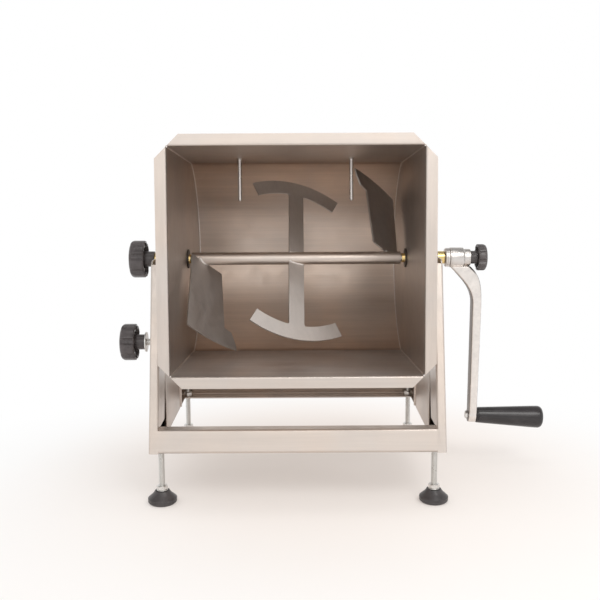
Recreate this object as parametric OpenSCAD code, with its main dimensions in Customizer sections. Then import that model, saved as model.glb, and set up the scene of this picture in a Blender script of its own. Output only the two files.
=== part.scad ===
// Hand-cranked meat mixer: a tilting sheet-steel tank in a low frame, stirred by four welded paddles.
// Millimetres, +Z up, +X towards the crank. The origin is on the floor, under the middle of the whole.
// Most pieces are drawn about the middle of the shaft and then lifted to their place by at_shaft().

/* [Tank] */
// Width inside, between the two end walls
tank_w = 310; // [290:1:330]
// Height of the mouth, inside
mouth_h = 278; // [262:1:290]
// How far the rounded bottom stands out beyond half the mouth's height
bowl_bulge = 9; // [4:1:16]
// Distance from the shaft to the plane of the mouth
mouth_reach = 185; // [170:1:190]
// Width of the lip that is turned outward all round the mouth
lip_w = 14.5; // [10:0.5:16]
// Thickness of the tank's sheet
tank_sheet = 1.2; // [1:0.1:1.6]
// Angle by which the mouth looks upward when the tank hangs on its stop
mouth_rise_angle = 4.4; // [0:0.2:8]

/* [Frame] */
// Distance from the tank's inside to the outer face of each side frame
side_gap = 39; // [37:0.5:50]
// Depth over the side frames at their bottom edge
frame_depth = 294; // [280:1:310]
// Height of the shaft above the floor, on feet set as photographed
shaft_h = 308.5; // [300:0.5:330]
// Height of the frame's bottom edge above the floor
frame_clear = 70; // [60:1:72]
// Lean of the front and rear edges from upright
side_slope_angle = 15.4; // [10:0.2:18]
// Height of the side frame's top edge above the shaft
side_top = 5; // [2:0.5:8]
// Radius of the raised ear that carries the trunnion
ear_r = 24; // [20:1:28]
// Width of the flanges along the sloping edges
flange_w = 13; // [11:0.5:14]
// Gap between the return lip behind a flange and the stop pin
return_gap = 7.7; // [4:0.1:28]
// Width of the flange along the bottom edge of the side frame
sill_w = 12; // [9:0.5:13]
// Height of the front and rear rails
rail_h = 29.5; // [24:0.5:34]
// Depth of the rail's top return
rail_top_w = 17; // [12:0.5:20]
// Depth of the rail's bottom flange, which carries the feet
rail_foot_w = 23.5; // [20:0.5:28]
// Thickness of the frame's sheet
frame_sheet = 1.5; // [1.2:0.1:2]

/* [Feet] */
// Distance of each foot's axis from the outer face of its side frame
foot_side_inset = 15.4; // [14:0.2:18]
// Distance of each foot's axis from the front or rear end of the side frame
foot_end_inset = 12.1; // [11:0.1:15]
// Diameter of the threaded studs
foot_stud_d = 8; // [6:0.5:9]
// Length of stud that stands above the nut
foot_stud_spare = 7.5; // [4:0.5:10]
// Diameter of the pad at the floor
pad_d = 38; // [34:1:42]
// Height of the pad
pad_h = 17.5; // [14:0.5:20]
// Diameter of the pad's flat top
pad_top_d = 19; // [17:0.5:22]
// Height of the hexagon above the pad
collar_h = 6.5; // [5:0.5:8]

/* [Agitator] */
// How far the left sleeve's nose stands into the tank
nose_left = 4.5; // [3:0.5:8]
// How far the right sleeve's nose stands into the tank
nose_right = 6.5; // [3:0.5:10]
// Diameter of the tube
tube_d = 18; // [16:0.5:22]
// Wall of the tube
tube_wall = 2; // [1.5:0.1:3]
// Angle of the centre paddles from hanging straight down, towards the front
stir_angle = 35; // [0:1:90]
// Angle by which the end paddles are turned further round than the centre ones
end_lead_angle = 4.7; // [0:0.1:10]
// Thickness of the paddles
paddle_t = 2.5; // [2:0.1:3]

/* [Centre paddles] */
// Turn of the centre paddles across the shaft
centre_turn_angle = 24; // [15:1:40]
// Gap between the centre paddles and the tank's upper and lower walls
centre_gap = 12.6; // [9:0.2:30]
// Radius of the outer edge
centre_edge_r = 145.7; // [130:0.1:180]
// Width of the curved head, measured along its ends
centre_band = 20.8; // [16:0.2:26]
// Half of the angle that the curved head spans
centre_half_angle = 28; // [20:1:34]
// Width of the stem
stem_w = 22.7; // [18:0.1:26]

/* [End paddles] */
// Turn of the end paddles across the shaft
end_turn_angle = 49.6; // [40:0.2:56]
// Distance of each end paddle's crossing from the tank's end wall
end_paddle_gap = 24.8; // [23:0.2:30]
// Width of an end paddle across the shaft, from its straight edge to its toe
blade_w = 94; // [80:1:100]
// Share of that width that lies towards the end wall
blade_out_share = 0.255; // [0.2:0.005:0.3]
// Gap along the paddle between its toe and the tank's walls
toe_gap = 19.5; // [17:0.5:34]
// Gap along the paddle between its straight edge's end and the tank's walls
heel_gap = 22; // [19:0.5:34]
// Radius of the outer edge
blade_edge_r = 270; // [200:5:400]

/* [Bearings] */
// Outside diameter of the brass sleeves that the tank turns on
sleeve_d = 18; // [16:0.5:20]
// Diameter of the shaft and of the pivot spindle inside them
shaft_d = 10; // [8:0.5:12]
// Outside diameter of the sleeve's thin inner nose
nose_d = 13; // [12.5:0.1:15]
// Outside diameter of the seal rings on the end walls
seal_d = 27; // [24:1:30]
// Outside diameter of the hub rings on the end walls
hub_ring_d = 34; // [28:1:40]
// Height of the hub rings
hub_ring_h = 8; // [5:0.5:12]
// How far the right sleeve stands out of its side frame
sleeve_out_right = 15.5; // [12:0.5:18]
// How far the left sleeve stands out of its side frame
sleeve_out_left = 7.5; // [7:0.5:9]

/* [Crank] */
// Radius of the crank, from the shaft to the grip
crank_r = 231.5; // [200:0.5:250]
// Diameter of the crank's hub
hub_d = 28.4; // [24:0.2:32]
// Length of the thick part of the hub
hub_len = 20; // [16:0.5:24]
// Diameter of the hub's outer end
hub_end_d = 24; // [20:0.5:26]
// Length of the hub's outer end
hub_end_len = 9.2; // [6:0.2:12]
// Thickness of the thrust collar behind the hub
collar_ring_h = 7.2; // [5:0.2:9]
// Diameter of the thrust collar
collar_ring_d = 27; // [24:0.5:30]
// Width of the crank's arm, front to back
arm_w = 20; // [16:0.5:24]
// Diameter of the boss at the arm's end, which carries the grip
arm_boss_d = 21; // [18:0.5:24]
// Thickness of the arm below its bend
arm_top_t = 12.7; // [10:0.1:15]
// Thickness of the arm at the grip
arm_end_t = 11; // [9:0.1:12]
// Distance from the hub's outer face to the arm's outer face at the grip
arm_offset = 14; // [10:0.5:18]
// Length of the grip
grip_len = 96.5; // [80:0.5:110]
// Diameter of the grip beside the arm
grip_in_d = 22.4; // [20:0.2:26]
// Diameter of the grip at its outer end
grip_out_d = 32; // [26:0.5:34]
// Angle by which the grip droops
grip_droop_angle = 2.3; // [0:0.1:4]
// Diameter of the grip's spindle
spindle_d = 8; // [6.5:0.5:9]

/* [Knobs] */
// Diameter of the two knobs on the left side
knob_d = 52.5; // [46:0.5:58]
// Thickness of their heads
knob_h = 27; // [20:0.5:30]
// Diameter of their necks
knob_neck_d = 22; // [18:0.5:24]
// Length of their necks
knob_neck_h = 9.5; // [6:0.5:12]
// Number of lobes round a knob
knob_lobes = 7; // [5:1:9]
// Diameter of the crank's knob
crank_knob_d = 37.4; // [32:0.2:42]
// Thickness of its head
crank_knob_h = 16.5; // [12:0.5:20]
// Diameter of its neck
crank_knob_neck_d = 18.5; // [15:0.5:20]
// Length of its neck
crank_knob_neck_h = 7.6; // [5:0.2:10]
// Distance of the lock below the shaft
lock_drop = 120; // [112:0.5:124]
// Diameter of the lock's stud
lock_stud_d = 10; // [8:0.5:11]
// Travel of the lock, from backed out to home
lock_travel = 13; // [10:0.5:14]

/* [Breaker pins] */
// Diameter of the two pins on the tank's rear wall
pin_d = 5; // [4:0.5:6]
// Length of the pins
pin_len = 59; // [45:1:62]
// Distance of the left pin from the left end wall
pin_left_gap = 76.4; // [70:0.2:80]
// Distance of the right pin from the right end wall
pin_right_gap = 78.7; // [70:0.2:80]
// Place of the pins in front of the shaft
pin_forward = 20; // [0:1:30]

/* [Hidden] */
$fn = 96;

// How far a cut runs past the solid that it cuts
cut_over = 2;
// Gap round a shaft or stud in its hole
run_gap = 0.05;
// Gap round a pin that slides in a slot
slot_gap = 1;
// Inside radius of every bend in the sheets
bend_r = 1.5;
// Straight steps along a bend
bend_steps = 6;
// Distance from a sheet's corner to the end of its bend
tank_bend = bend_r + tank_sheet;
frame_bend = bend_r + frame_sheet;
// Overlap of a bent strip with the flat sheet that it continues
strip_lap = 4;

// The tank: half its width inside and outside, and the radius of its rounded bottom about the shaft
wall_x = tank_w / 2;
wall_out_x = wall_x + tank_sheet;
bowl_r = mouth_h / 2 + bowl_bulge;

// Heights and depths of the frame, measured from the shaft
frame_bottom = frame_clear - shaft_h;
frame_x = wall_x + side_gap;
foot_x = frame_x - foot_side_inset;
foot_y = frame_depth / 2 - foot_end_inset;
flange_in_x = frame_x - flange_w;
rail_top = frame_bottom + rail_h;
slope_run = tan(side_slope_angle);
function half_depth(z) = frame_depth / 2 - (z - frame_bottom) * slope_run;
function flat_half_depth(z) = half_depth(z) - frame_bend / cos(side_slope_angle);
sill_half = frame_depth / 2 - rail_foot_w;
// Radius of the rounded corners at the top of the side frame
top_corner_r = 9;

// Nuts, washers and bolt heads; a nut's rim is its metal outside the thread, across flats
foot_nut_rim = 2.5;
foot_nut_af = foot_stud_d + 2 * foot_nut_rim;
foot_nut_h = 6.5;
sleeve_nut_rim = 3;
sleeve_nut_af = sleeve_d + 2 * sleeve_nut_rim;
sleeve_nut_h = 5;
hex_ratio = 2 / sqrt(3);
lock_boss_d = 24;
lock_boss_h = 10;
lock_washer_d = 29;
lock_washer_h = 2;

// The tube runs between the noses of the two sleeves
seal_h = 2;
nose_play = 1.5;
tube_left_x = nose_left + nose_play - wall_x;
tube_right_x = wall_x - nose_right - nose_play;
tube_mid_x = (tube_left_x + tube_right_x) / 2;
end_paddle_x = wall_x - end_paddle_gap;
centre_reach = mouth_h / 2 - centre_gap;
blade_reach = mouth_h / 2 - toe_gap;
heel_reach = mouth_h / 2 - heel_gap;
sleeve_left_x = -frame_x - sleeve_out_left;
sleeve_right_x = frame_x + sleeve_out_right;

// The index plate on the tank's left wall: two holes for the lock and a slot for the stop
index_t = 4;
index_band = 14;
index_web = 9.5;
// Straight steps along the plate's arcs, and round their ends
sector_steps = 24;
cap_steps = 12;
upright_angle = 90 - mouth_rise_angle;
stop_d = 8;
// Where the stop stands, as an angle about the shaft with 0 to the rear and 90 up
stop_angle = -115;
stop_r = lock_drop - lock_stud_d / 2 - slot_gap / 2 - index_web - slot_gap - stop_d / 2;
stop_y = stop_r * cos(stop_angle);
stop_z = stop_r * sin(stop_angle);
// Depth of the return lips behind the flanges, from the sloping edge back to near the stop
stop_depth = (stop_y + frame_depth / 2) * cos(side_slope_angle)
    - (stop_z - frame_bottom) * sin(side_slope_angle);
return_w = stop_depth - stop_d / 2 - return_gap;
lock_rest_tip = -wall_out_x - index_t - lock_travel + index_t / 2;
lock_rest_face = -frame_x - lock_boss_h - lock_travel - lock_washer_h;

// Stations along the crank's hub, from the sleeve's end outward
hub_x0 = sleeve_right_x + collar_ring_h;
hub_x1 = hub_x0 + hub_len;
hub_x2 = hub_x1 + hub_end_len;
crank_shaft_end = hub_x2 - 2 * run_gap;
arm_out_x = hub_x2 + arm_offset;
crank_stud_d = 6;
crank_stud_len = 18;
// Shoulder bolt of the grip: its threaded end is thinner by a step, and its head wider by a rim
spindle_step = 1;
spindle_rim = 2.5;
spindle_nut_rim = 2;
head_play = 1.5;
spindle_end_d = spindle_d - 2 * spindle_step;
spindle_nut_af = spindle_end_d + 2 * spindle_nut_rim;
spindle_head_d = spindle_d + 2 * spindle_rim;
spindle_head_h = 7;
grip_recess_d = spindle_head_d + head_play;
grip_recess = 11;
spindle_nut_h = 3.7;
grip_gap = 0.3;
thrust_gap = 0.5;
// How far the arm's outer face at the end of its bend stands beyond its face at the grip
arm_knee_out = 2.6;
// How far the grip's boss stands out behind the arm, so that the nut has a square seat
boss_proud = 0.6;
boss_in_x = -arm_end_t - boss_proud;
// Distance of the end of the arm's bend below the shaft
arm_bend_drop = 66;
// Control points of the bend, as shares of its way outward and of its drop
arm_inner_shares = [[0.56, 0.45], [1, 0.64]];
arm_outer_shares = [[1, 0.58], [0.73, 0.39]];
// Straight steps along each side of the bend
curve_steps = 10;
// Rounding of the grip's outer end, as a share of its diameter
grip_round_share = 0.3;

// The pivot spindle's tip, which carries the tube's left end
pivot_tip_d = 8;
pivot_tip_len = 22;
plug_len = 32;
drive_pin_d = 4;
knob_bore = 16;

// Star knobs: grooves, rim and recess as shares of the head's diameter and thickness
knob_groove_share = 0.105;
knob_groove_out_share = 0.35;
knob_rim_share = 0.06;
knob_recess_share = 0.25;
// Rounded edge of the head, as shares of the rim: inward from its side and down from its top
knob_edge_shares = [[0, 1.6], [0.3, 0.7], [1, 0.2], [2, 0]];

// Rubber pads: cylindrical band and its lower bevel, as shares of the pad's height
pad_band_share = 0.42;
pad_bevel_share = 0.14;

// Fillet between a centre paddle's stem and its head
stem_fillet = 3;
// Corners of an end paddle's inner side, as shares of its width and of its toe's reach
blade_shares = [[0, 0.04], [0.614, 0.084], [0.726, 0.788], [0.872, 0.807], [0.964, 0.924], [1, 1]];
// Straight steps along its outer edge
edge_steps = 12;

// Middle of the whole, sideways and front to back, measured from the shaft
grip_end_x = arm_out_x + grip_gap + grip_len * cos(grip_droop_angle);
knob_end_x = lock_rest_face - knob_neck_h - knob_h;
mid_x = (grip_end_x + knob_end_x) / 2;
mouth_front = mouth_reach * cos(mouth_rise_angle) + (mouth_h / 2 + lip_w) * sin(mouth_rise_angle);
mid_y = (foot_y + pad_d / 2 - mouth_front) / 2;

steel = [0.78, 0.75, 0.72];
zinc = [0.74, 0.76, 0.76];
brass = [0.80, 0.66, 0.38];
cast = [0.83, 0.83, 0.82];
moulded = [0.20, 0.20, 0.21];
rubber = [0.10, 0.10, 0.11];

// Puts what is drawn about the shaft's middle in its place above the floor
module at_shaft() translate([-mid_x, -mid_y, shaft_h]) children();

// Tips what turns with the tank
module at_tank() at_shaft() rotate([-mouth_rise_angle, 0, 0]) children();

// Extrudes an outline of (Y, Z) points along X
module along_x(x0, x1) translate([x0, 0, 0]) rotate([90, 0, 90]) linear_extrude(x1 - x0) children();

// Round bar along X
module bar_x(x0, x1, d) translate([x0, 0, 0]) rotate([0, 90, 0]) cylinder(d = d, h = x1 - x0);

// Hexagonal bar along Z, by its size across flats
module hex_bar(af, h) cylinder(d = af * hex_ratio, h = h, $fn = 6);

function unit(v) = v / norm(v);
function left_of(v) = [-v[1], v[0]];
function turned(v, a) = [v[0] * cos(a) - v[1] * sin(a), v[0] * sin(a) + v[1] * cos(a)];
function leg(p, i) = unit(p[i + 1] - p[i]);

// Corner points moved sideways by d, with their corners mitred
function shifted(p, d) = [for (i = [0:len(p) - 1])
    let (a = left_of(leg(p, max(i - 1, 0))), b = left_of(leg(p, min(i, len(p) - 2))))
    p[i] + d * (a + b) / (1 + a * b)];

// Points along one bend, at the corner p[i], moved sideways by d
function bend_points(p, i, r, d) =
    let (
        u = leg(p, i - 1),
        v = leg(p, i),
        turn = atan2(u[0] * v[1] - u[1] * v[0], u * v),
        side = sign(turn),
        centre = p[i] - u * r * tan(abs(turn) / 2) + left_of(u) * r * side
    )
    [for (k = [0:bend_steps])
        centre - turned(left_of(u) * side, turn * k / bend_steps) * (r - side * d)];

// One side of a bent sheet whose middle line is p
function bent_side(p, r, d) = [for (i = [0:len(p) - 1])
    each i == 0 ? [p[0] + left_of(leg(p, 0)) * d] :
        i == len(p) - 1 ? [p[i] + left_of(leg(p, i - 1)) * d] :
        bend_points(p, i, r, d)];
function backwards(p) = [for (i = [len(p) - 1:-1:0]) p[i]];

// Edge view of a sheet of thickness t, folded along outer corner points, with its metal to their left
module bent_sheet(outer, t) {
    middle = shifted(outer, t / 2);
    r = bend_r + abs(t) / 2;
    polygon(concat(bent_side(middle, r, t / 2), backwards(bent_side(middle, r, -t / 2))));
}

// Outline of the flat part of one side frame, in (Y, Z), between the bends of its flanged edges
module side_outline() {
    top_y = flat_half_depth(side_top);
    low_y = flat_half_depth(frame_bottom);
    corner = [top_y - top_corner_r, side_top - top_corner_r];
    difference() {
        union() {
            polygon([[-low_y, frame_bottom], [-top_y, side_top], [top_y, side_top], [low_y, frame_bottom]]);
            circle(r = ear_r);
        }
        translate([-sill_half, frame_bottom - cut_over]) square([2 * sill_half, frame_bend + cut_over]);
        for (side = [0, 1]) mirror([side, 0]) difference() {
            translate(corner) square(top_corner_r + cut_over);
            translate(corner) circle(r = top_corner_r);
        }
    }
}

// A strip folded along the front edge of a left side frame, kept between two heights
module edge_strip(fold, z0, z1) {
    reach = (side_top - frame_bottom) / cos(side_slope_angle);
    intersection() {
        translate([-frame_x, -half_depth(frame_bottom), frame_bottom]) rotate([-side_slope_angle, 0, 0])
            translate([0, 0, -flange_w]) linear_extrude(reach + 2 * flange_w)
                bent_sheet(concat([[0, frame_bend + strip_lap], [0, 0]], fold), frame_sheet);
        translate([-frame_x - cut_over, -frame_depth, z0])
            cube([flange_w + 2 * cut_over, 2 * frame_depth, z1 - z0]);
    }
}

// The front edge of a left side frame: a flange, with a return lip above the rail
module edge_channel() {
    edge_strip([[flange_w, 0], [flange_w, return_w]], rail_top, side_top - top_corner_r / 2);
    edge_strip([[flange_w, 0]], frame_bottom, rail_top);
}

// The flange along the bottom edge of a left side frame
module sill() translate([0, sill_half, 0]) rotate([90, 0, 0]) linear_extrude(2 * sill_half)
    bent_sheet([
        [-frame_x + sill_w, frame_bottom], [-frame_x, frame_bottom],
        [-frame_x, frame_bottom + frame_bend + strip_lap]
    ], -frame_sheet);

// A left side frame, with its trunnion hole; the right one is its mirror image
module side_frame() {
    difference() {
        union() {
            along_x(-frame_x, -frame_x + frame_sheet) side_outline();
            edge_channel();
            mirror([0, 1, 0]) edge_channel();
            sill();
        }
        bar_x(-frame_x - cut_over, -frame_x + frame_sheet + cut_over, sleeve_d);
    }
}

module side_frame_left() color(steel) at_shaft() difference() {
    side_frame();
    translate([0, 0, -lock_drop])
        bar_x(-frame_x - cut_over, -frame_x + frame_sheet + cut_over, lock_stud_d + 2 * run_gap);
}

module side_frame_right() color(steel) at_shaft() mirror([1, 0, 0]) side_frame();

// One rail, drawn at the front: a sloping face with a top return and a bottom flange
module rail() {
    face_top = -half_depth(rail_top);
    face_low = -half_depth(frame_bottom);
    inner_x = frame_x - frame_sheet;
    flange_y = face_low + frame_sheet / cos(side_slope_angle) + bend_r;
    difference() {
        union() {
            along_x(-flange_in_x, flange_in_x) bent_sheet([
                [face_low + rail_foot_w, frame_bottom], [face_low, frame_bottom],
                [face_top, rail_top], [face_top + rail_top_w, rail_top]
            ], -frame_sheet);
            translate([-inner_x, flange_y, frame_bottom])
                cube([2 * inner_x, face_low + rail_foot_w - flange_y, frame_sheet]);
        }
        for (side = [-1, 1]) translate([side * foot_x, -foot_y, frame_bottom - cut_over])
            cylinder(d = foot_stud_d + 2 * run_gap, h = frame_sheet + 2 * cut_over);
    }
}

module front_rail() color(steel) at_shaft() rail();

module rear_rail() color(steel) at_shaft() mirror([0, 1, 0]) rail();

// Nuts welded on the rails' flanges over the four foot holes
module foot_nuts() color(zinc) at_shaft()
    for (x = [-foot_x, foot_x], y = [-foot_y, foot_y])
        translate([x, y, frame_bottom + frame_sheet]) difference() {
            rotate([0, 0, 30]) hex_bar(foot_nut_af, foot_nut_h);
            translate([0, 0, -cut_over])
                cylinder(d = foot_stud_d + 2 * run_gap, h = foot_nut_h + 2 * cut_over);
        }

// A brass sleeve through a side frame: thick where the tank turns on it, thin inside the tank
module sleeve(x_out, x_wall, x_nose) {
    x0 = min(x_out, x_nose);
    x1 = max(x_out, x_nose);
    difference() {
        union() {
            bar_x(min(x_out, x_wall), max(x_out, x_wall), sleeve_d);
            bar_x(x0, x1, nose_d);
        }
        bar_x(x0 - cut_over, x1 + cut_over, shaft_d + 2 * run_gap);
    }
}

module sleeve_left() color(brass) at_shaft()
    sleeve(sleeve_left_x, -wall_x, tube_left_x - nose_play);

module sleeve_right() color(brass) at_shaft()
    sleeve(sleeve_right_x, wall_x, tube_right_x + nose_play);

// Thin nuts that hold each sleeve on both faces of its side frame
module sleeve_nuts() color(zinc) at_shaft()
    for (x = [-frame_x - sleeve_nut_h, -frame_x + frame_sheet, frame_x - frame_sheet - sleeve_nut_h, frame_x])
        difference() {
            translate([x, 0, 0]) rotate([0, 90, 0]) hex_bar(sleeve_nut_af, sleeve_nut_h);
            bar_x(x - cut_over, x + sleeve_nut_h + cut_over, sleeve_d);
        }

// Threaded boss on the left side frame, for the lock
module lock_boss() color(steel) at_shaft() translate([0, 0, -lock_drop]) difference() {
    bar_x(-frame_x - lock_boss_h, -frame_x, lock_boss_d);
    bar_x(-frame_x - lock_boss_h - cut_over, -frame_x + cut_over, lock_stud_d + 2 * run_gap);
}

// Pin on the left side frame that ends the tank's tilt both ways
module tilt_stop() color(steel) at_shaft()
    translate([0, stop_y, stop_z])
        bar_x(-frame_x + frame_sheet, -wall_out_x - index_t / 2 + slot_gap, stop_d);

// The tank's section, in (Y, Z): a straight mouth in front of the shaft and a round bottom behind it
module tank_section(grow, reach) {
    half_h = mouth_h / 2 + grow;
    translate([-reach, -half_h]) square([reach, 2 * half_h]);
    intersection() {
        circle(r = bowl_r + grow);
        translate([0, -half_h]) square([bowl_r + grow, 2 * half_h]);
    }
}

// The four corners outside the mouth, where the lips of the wrap and of the end walls are cut at 45 degrees
module lip_corners() {
    reach = lip_w + cut_over;
    depth = tank_bend + tank_sheet;
    rotate([90, 0, 0]) translate([0, 0, mouth_reach - depth]) linear_extrude(depth + cut_over)
        for (side = [0, 1], end = [0, 1]) mirror([side, 0]) mirror([0, end])
            translate([wall_x, mouth_h / 2]) polygon([[-reach, reach], [reach, -reach], [reach, reach]]);
}

// One sheet bent round the tank, with a lip along each of its two front edges
module tank_wrap() color(steel) at_tank() difference() {
    union() {
        along_x(-wall_x, wall_x) difference() {
            tank_section(tank_sheet, mouth_reach - tank_bend);
            tank_section(0, mouth_reach);
        }
        for (side = [-1, 1]) along_x(-wall_x, wall_x) bent_sheet([
            [tank_bend + strip_lap - mouth_reach, side * mouth_h / 2], [-mouth_reach, side * mouth_h / 2],
            [-mouth_reach, side * (mouth_h / 2 + lip_w)]
        ], -side * tank_sheet);
    }
    lip_corners();
}

// Left end wall with its lip and its bearing hole; the right one is its mirror image
module end_wall() difference() {
    union() {
        along_x(-wall_out_x, -wall_x) tank_section(tank_sheet, mouth_reach - tank_bend);
        translate([0, 0, -mouth_h / 2]) linear_extrude(mouth_h) bent_sheet([
            [-wall_x, tank_bend + strip_lap - mouth_reach], [-wall_x, -mouth_reach],
            [-wall_x - lip_w, -mouth_reach]
        ], -tank_sheet);
    }
    bar_x(-wall_out_x - cut_over, -wall_x + cut_over, sleeve_d + 2 * run_gap);
    lip_corners();
}

module tank_end_left() color(steel) at_tank() end_wall();

module tank_end_right() color(steel) at_tank() mirror([1, 0, 0]) end_wall();

// Rings welded on the outside of the end walls, which ride on the sleeves
module tank_hub_rings() color(steel) at_tank()
    for (side = [0, 1]) mirror([side, 0, 0]) difference() {
        bar_x(-wall_out_x - hub_ring_h, -wall_out_x, hub_ring_d);
        bar_x(-wall_out_x - hub_ring_h - cut_over, -wall_out_x + cut_over, sleeve_d + 2 * run_gap);
    }

// Seal rings on the inside of the end walls
module wall_seals() color(rubber) at_tank()
    for (side = [0, 1]) mirror([side, 0, 0]) difference() {
        bar_x(-wall_x, -wall_x + seal_h, seal_d);
        bar_x(-wall_x - cut_over, -wall_x + seal_h + cut_over, nose_d + 2 * run_gap);
    }

// Points on an arc about c, from step k0 to step k1 of n
function arc(c, r, a0, a1, n, k0, k1) = [for (k = [k0:k1])
    let (a = a0 + (a1 - a0) * k / n)
    c + r * [cos(a), sin(a)]];

// Outline of a ring sector between two angles, in (Y, Z), with round ends
module ring_sector(r, w, a0, a1) {
    n = sector_steps;
    m = cap_steps;
    polygon(concat(
        arc([0, 0], r + w / 2, a0, a1, n, 0, n),
        arc(r * [cos(a1), sin(a1)], w / 2, a1, a1 + 180, m, 1, m - 1),
        arc([0, 0], r - w / 2, a1, a0, n, 0, n),
        arc(r * [cos(a0), sin(a0)], w / 2, a0 + 180, a0 + 360, m, 1, m - 1)
    ));
}

// Plate on the tank's left wall with the lock's two holes and the stop's slot
module index_plate() color(steel) at_tank() difference() {
    rest = mouth_rise_angle;
    along_x(-wall_out_x - index_t, -wall_out_x) difference() {
        union() {
            ring_sector(lock_drop, lock_stud_d + index_band, rest - 90, rest - 90 + upright_angle);
            ring_sector(stop_r, stop_d + index_band, rest + stop_angle, rest + stop_angle + upright_angle);
        }
        ring_sector(stop_r, stop_d + 2 * slot_gap, rest + stop_angle, rest + stop_angle + upright_angle);
        for (turn = [0, upright_angle]) rotate(rest - 90 + turn) translate([lock_drop, 0])
            circle(d = lock_stud_d + slot_gap);
    }
}

// Two pins that stand on the wall that is uppermost here and at the rear when the tank is upright
module breaker_pins() color(steel) at_tank()
    for (x = [pin_left_gap - wall_x, wall_x - pin_right_gap])
        translate([x, -pin_forward, mouth_h / 2 - pin_len]) cylinder(d = pin_d, h = pin_len);

// Bar across the shaft, through the tube and the shaft's inner end
module cross_bar(h) translate([tube_right_x - plug_len / 2, 0, -h / 2]) cylinder(d = drive_pin_d, h = h);

module agitator_tube() color(steel) at_shaft() difference() {
    bar_x(tube_left_x, tube_right_x, tube_d);
    bar_x(tube_left_x - cut_over, tube_right_x + cut_over, tube_d - 2 * tube_wall);
    cross_bar(tube_d + cut_over);
}

// Plug in the tube's left end, bored for the pivot spindle's tip
module tube_plug() color(brass) at_shaft() difference() {
    bar_x(tube_left_x, tube_left_x + plug_len, tube_d - 2 * tube_wall);
    bar_x(tube_left_x - cut_over, tube_left_x + pivot_tip_len + nose_play, pivot_tip_d + 2 * run_gap);
}

// Shaft from inside the tube, through the right sleeve, to the crank's hub
module drive_shaft() color(zinc) at_shaft() difference() {
    union() {
        bar_x(tube_right_x - plug_len, tube_right_x, tube_d - 2 * tube_wall);
        bar_x(tube_right_x - plug_len, crank_shaft_end, shaft_d);
    }
    bar_x(crank_shaft_end - crank_stud_len - nose_play, crank_shaft_end + cut_over,
        crank_stud_d + 2 * run_gap);
    cross_bar(tube_d + cut_over);
}

// Cross pin that makes the tube turn with the shaft
module drive_pin() color(zinc) at_shaft() cross_bar(tube_d - tube_wall / 2);

// Stands a flat outline across the shaft: its Y runs outward from the shaft, its X along the paddle
module across_shaft(x, angle, turn) at_shaft() translate([x, 0, 0]) rotate([-angle, 0, 0])
    rotate([0, 0, turn]) rotate([-90, 0, 0])
        translate([0, 0, -paddle_t / 2]) linear_extrude(paddle_t) children();

// Cuts the seat of the tube out of a paddle
module seated_on_tube() difference() {
    children();
    at_shaft() bar_x(tube_left_x - cut_over, tube_right_x + cut_over, tube_d);
}

// Outline of a centre paddle: a stem with a curved head
module centre_outline() {
    head_in_r = centre_edge_r - centre_band;
    far = 2 * centre_edge_r;
    neck_y = sqrt(head_in_r * head_in_r - stem_w * stem_w / 4);
    translate([0, centre_reach - centre_edge_r]) {
        intersection() {
            difference() {
                circle(r = centre_edge_r);
                circle(r = head_in_r);
            }
            polygon([[0, 0], far * [sin(centre_half_angle), cos(centre_half_angle)],
                far * [-sin(centre_half_angle), cos(centre_half_angle)]]);
        }
        for (side = [0, 1]) mirror([side, 0]) difference() {
            translate([0, neck_y - stem_fillet])
                square([stem_w / 2 + stem_fillet, stem_fillet + centre_band / 2]);
            translate([stem_w / 2 + stem_fillet, neck_y - stem_fillet]) circle(r = stem_fillet);
        }
    }
    translate([-stem_w / 2, 0]) square([stem_w, centre_reach - centre_band / 2]);
}

module paddle_centre_down() color(steel) seated_on_tube()
    across_shaft(tube_mid_x, stir_angle, centre_turn_angle) centre_outline();

module paddle_centre_up() color(steel) seated_on_tube()
    across_shaft(tube_mid_x, stir_angle + 180, -centre_turn_angle) centre_outline();

// Outline of an end paddle: a broad foot across the tube, with a toe towards the tank's middle
module blade_outline() {
    out = blade_w * blade_out_share;
    heel = [-out, heel_reach];
    toe = [blade_w - out, blade_reach];
    chord = toe - heel;
    half_angle = asin(norm(chord) / 2 / blade_edge_r);
    centre = (heel + toe) / 2 - left_of(unit(chord)) * blade_edge_r * cos(half_angle);
    lean = atan2(chord[1], chord[0]);
    polygon(concat(
        [for (s = blade_shares) [s[0] * blade_w - out, s[1] * blade_reach]],
        [for (k = [1:edge_steps]) let (a = 90 + lean - half_angle + 2 * half_angle * k / edge_steps)
            centre + blade_edge_r * [cos(a), sin(a)]]
    ));
}

module paddle_left() color(steel) seated_on_tube()
    across_shaft(tube_mid_x - end_paddle_x, stir_angle + end_lead_angle, end_turn_angle) blade_outline();

module paddle_right() color(steel) seated_on_tube()
    across_shaft(tube_mid_x + end_paddle_x, stir_angle + end_lead_angle + 180, -end_turn_angle)
        mirror([1, 0]) blade_outline();

// Ring between the sleeve's end and the crank's hub
module thrust_collar() color(zinc) at_shaft() difference() {
    bar_x(sleeve_right_x + thrust_gap, hub_x0, collar_ring_d);
    bar_x(sleeve_right_x - cut_over, hub_x0 + cut_over, shaft_d + 2 * run_gap);
}

// Point on a smooth curve between a and d that leaves towards b and arrives from c
function curve_point(a, b, c, d, t) =
    a * pow(1 - t, 3) + b * 3 * t * pow(1 - t, 2) + c * 3 * t * t * (1 - t) + d * pow(t, 3);

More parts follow.
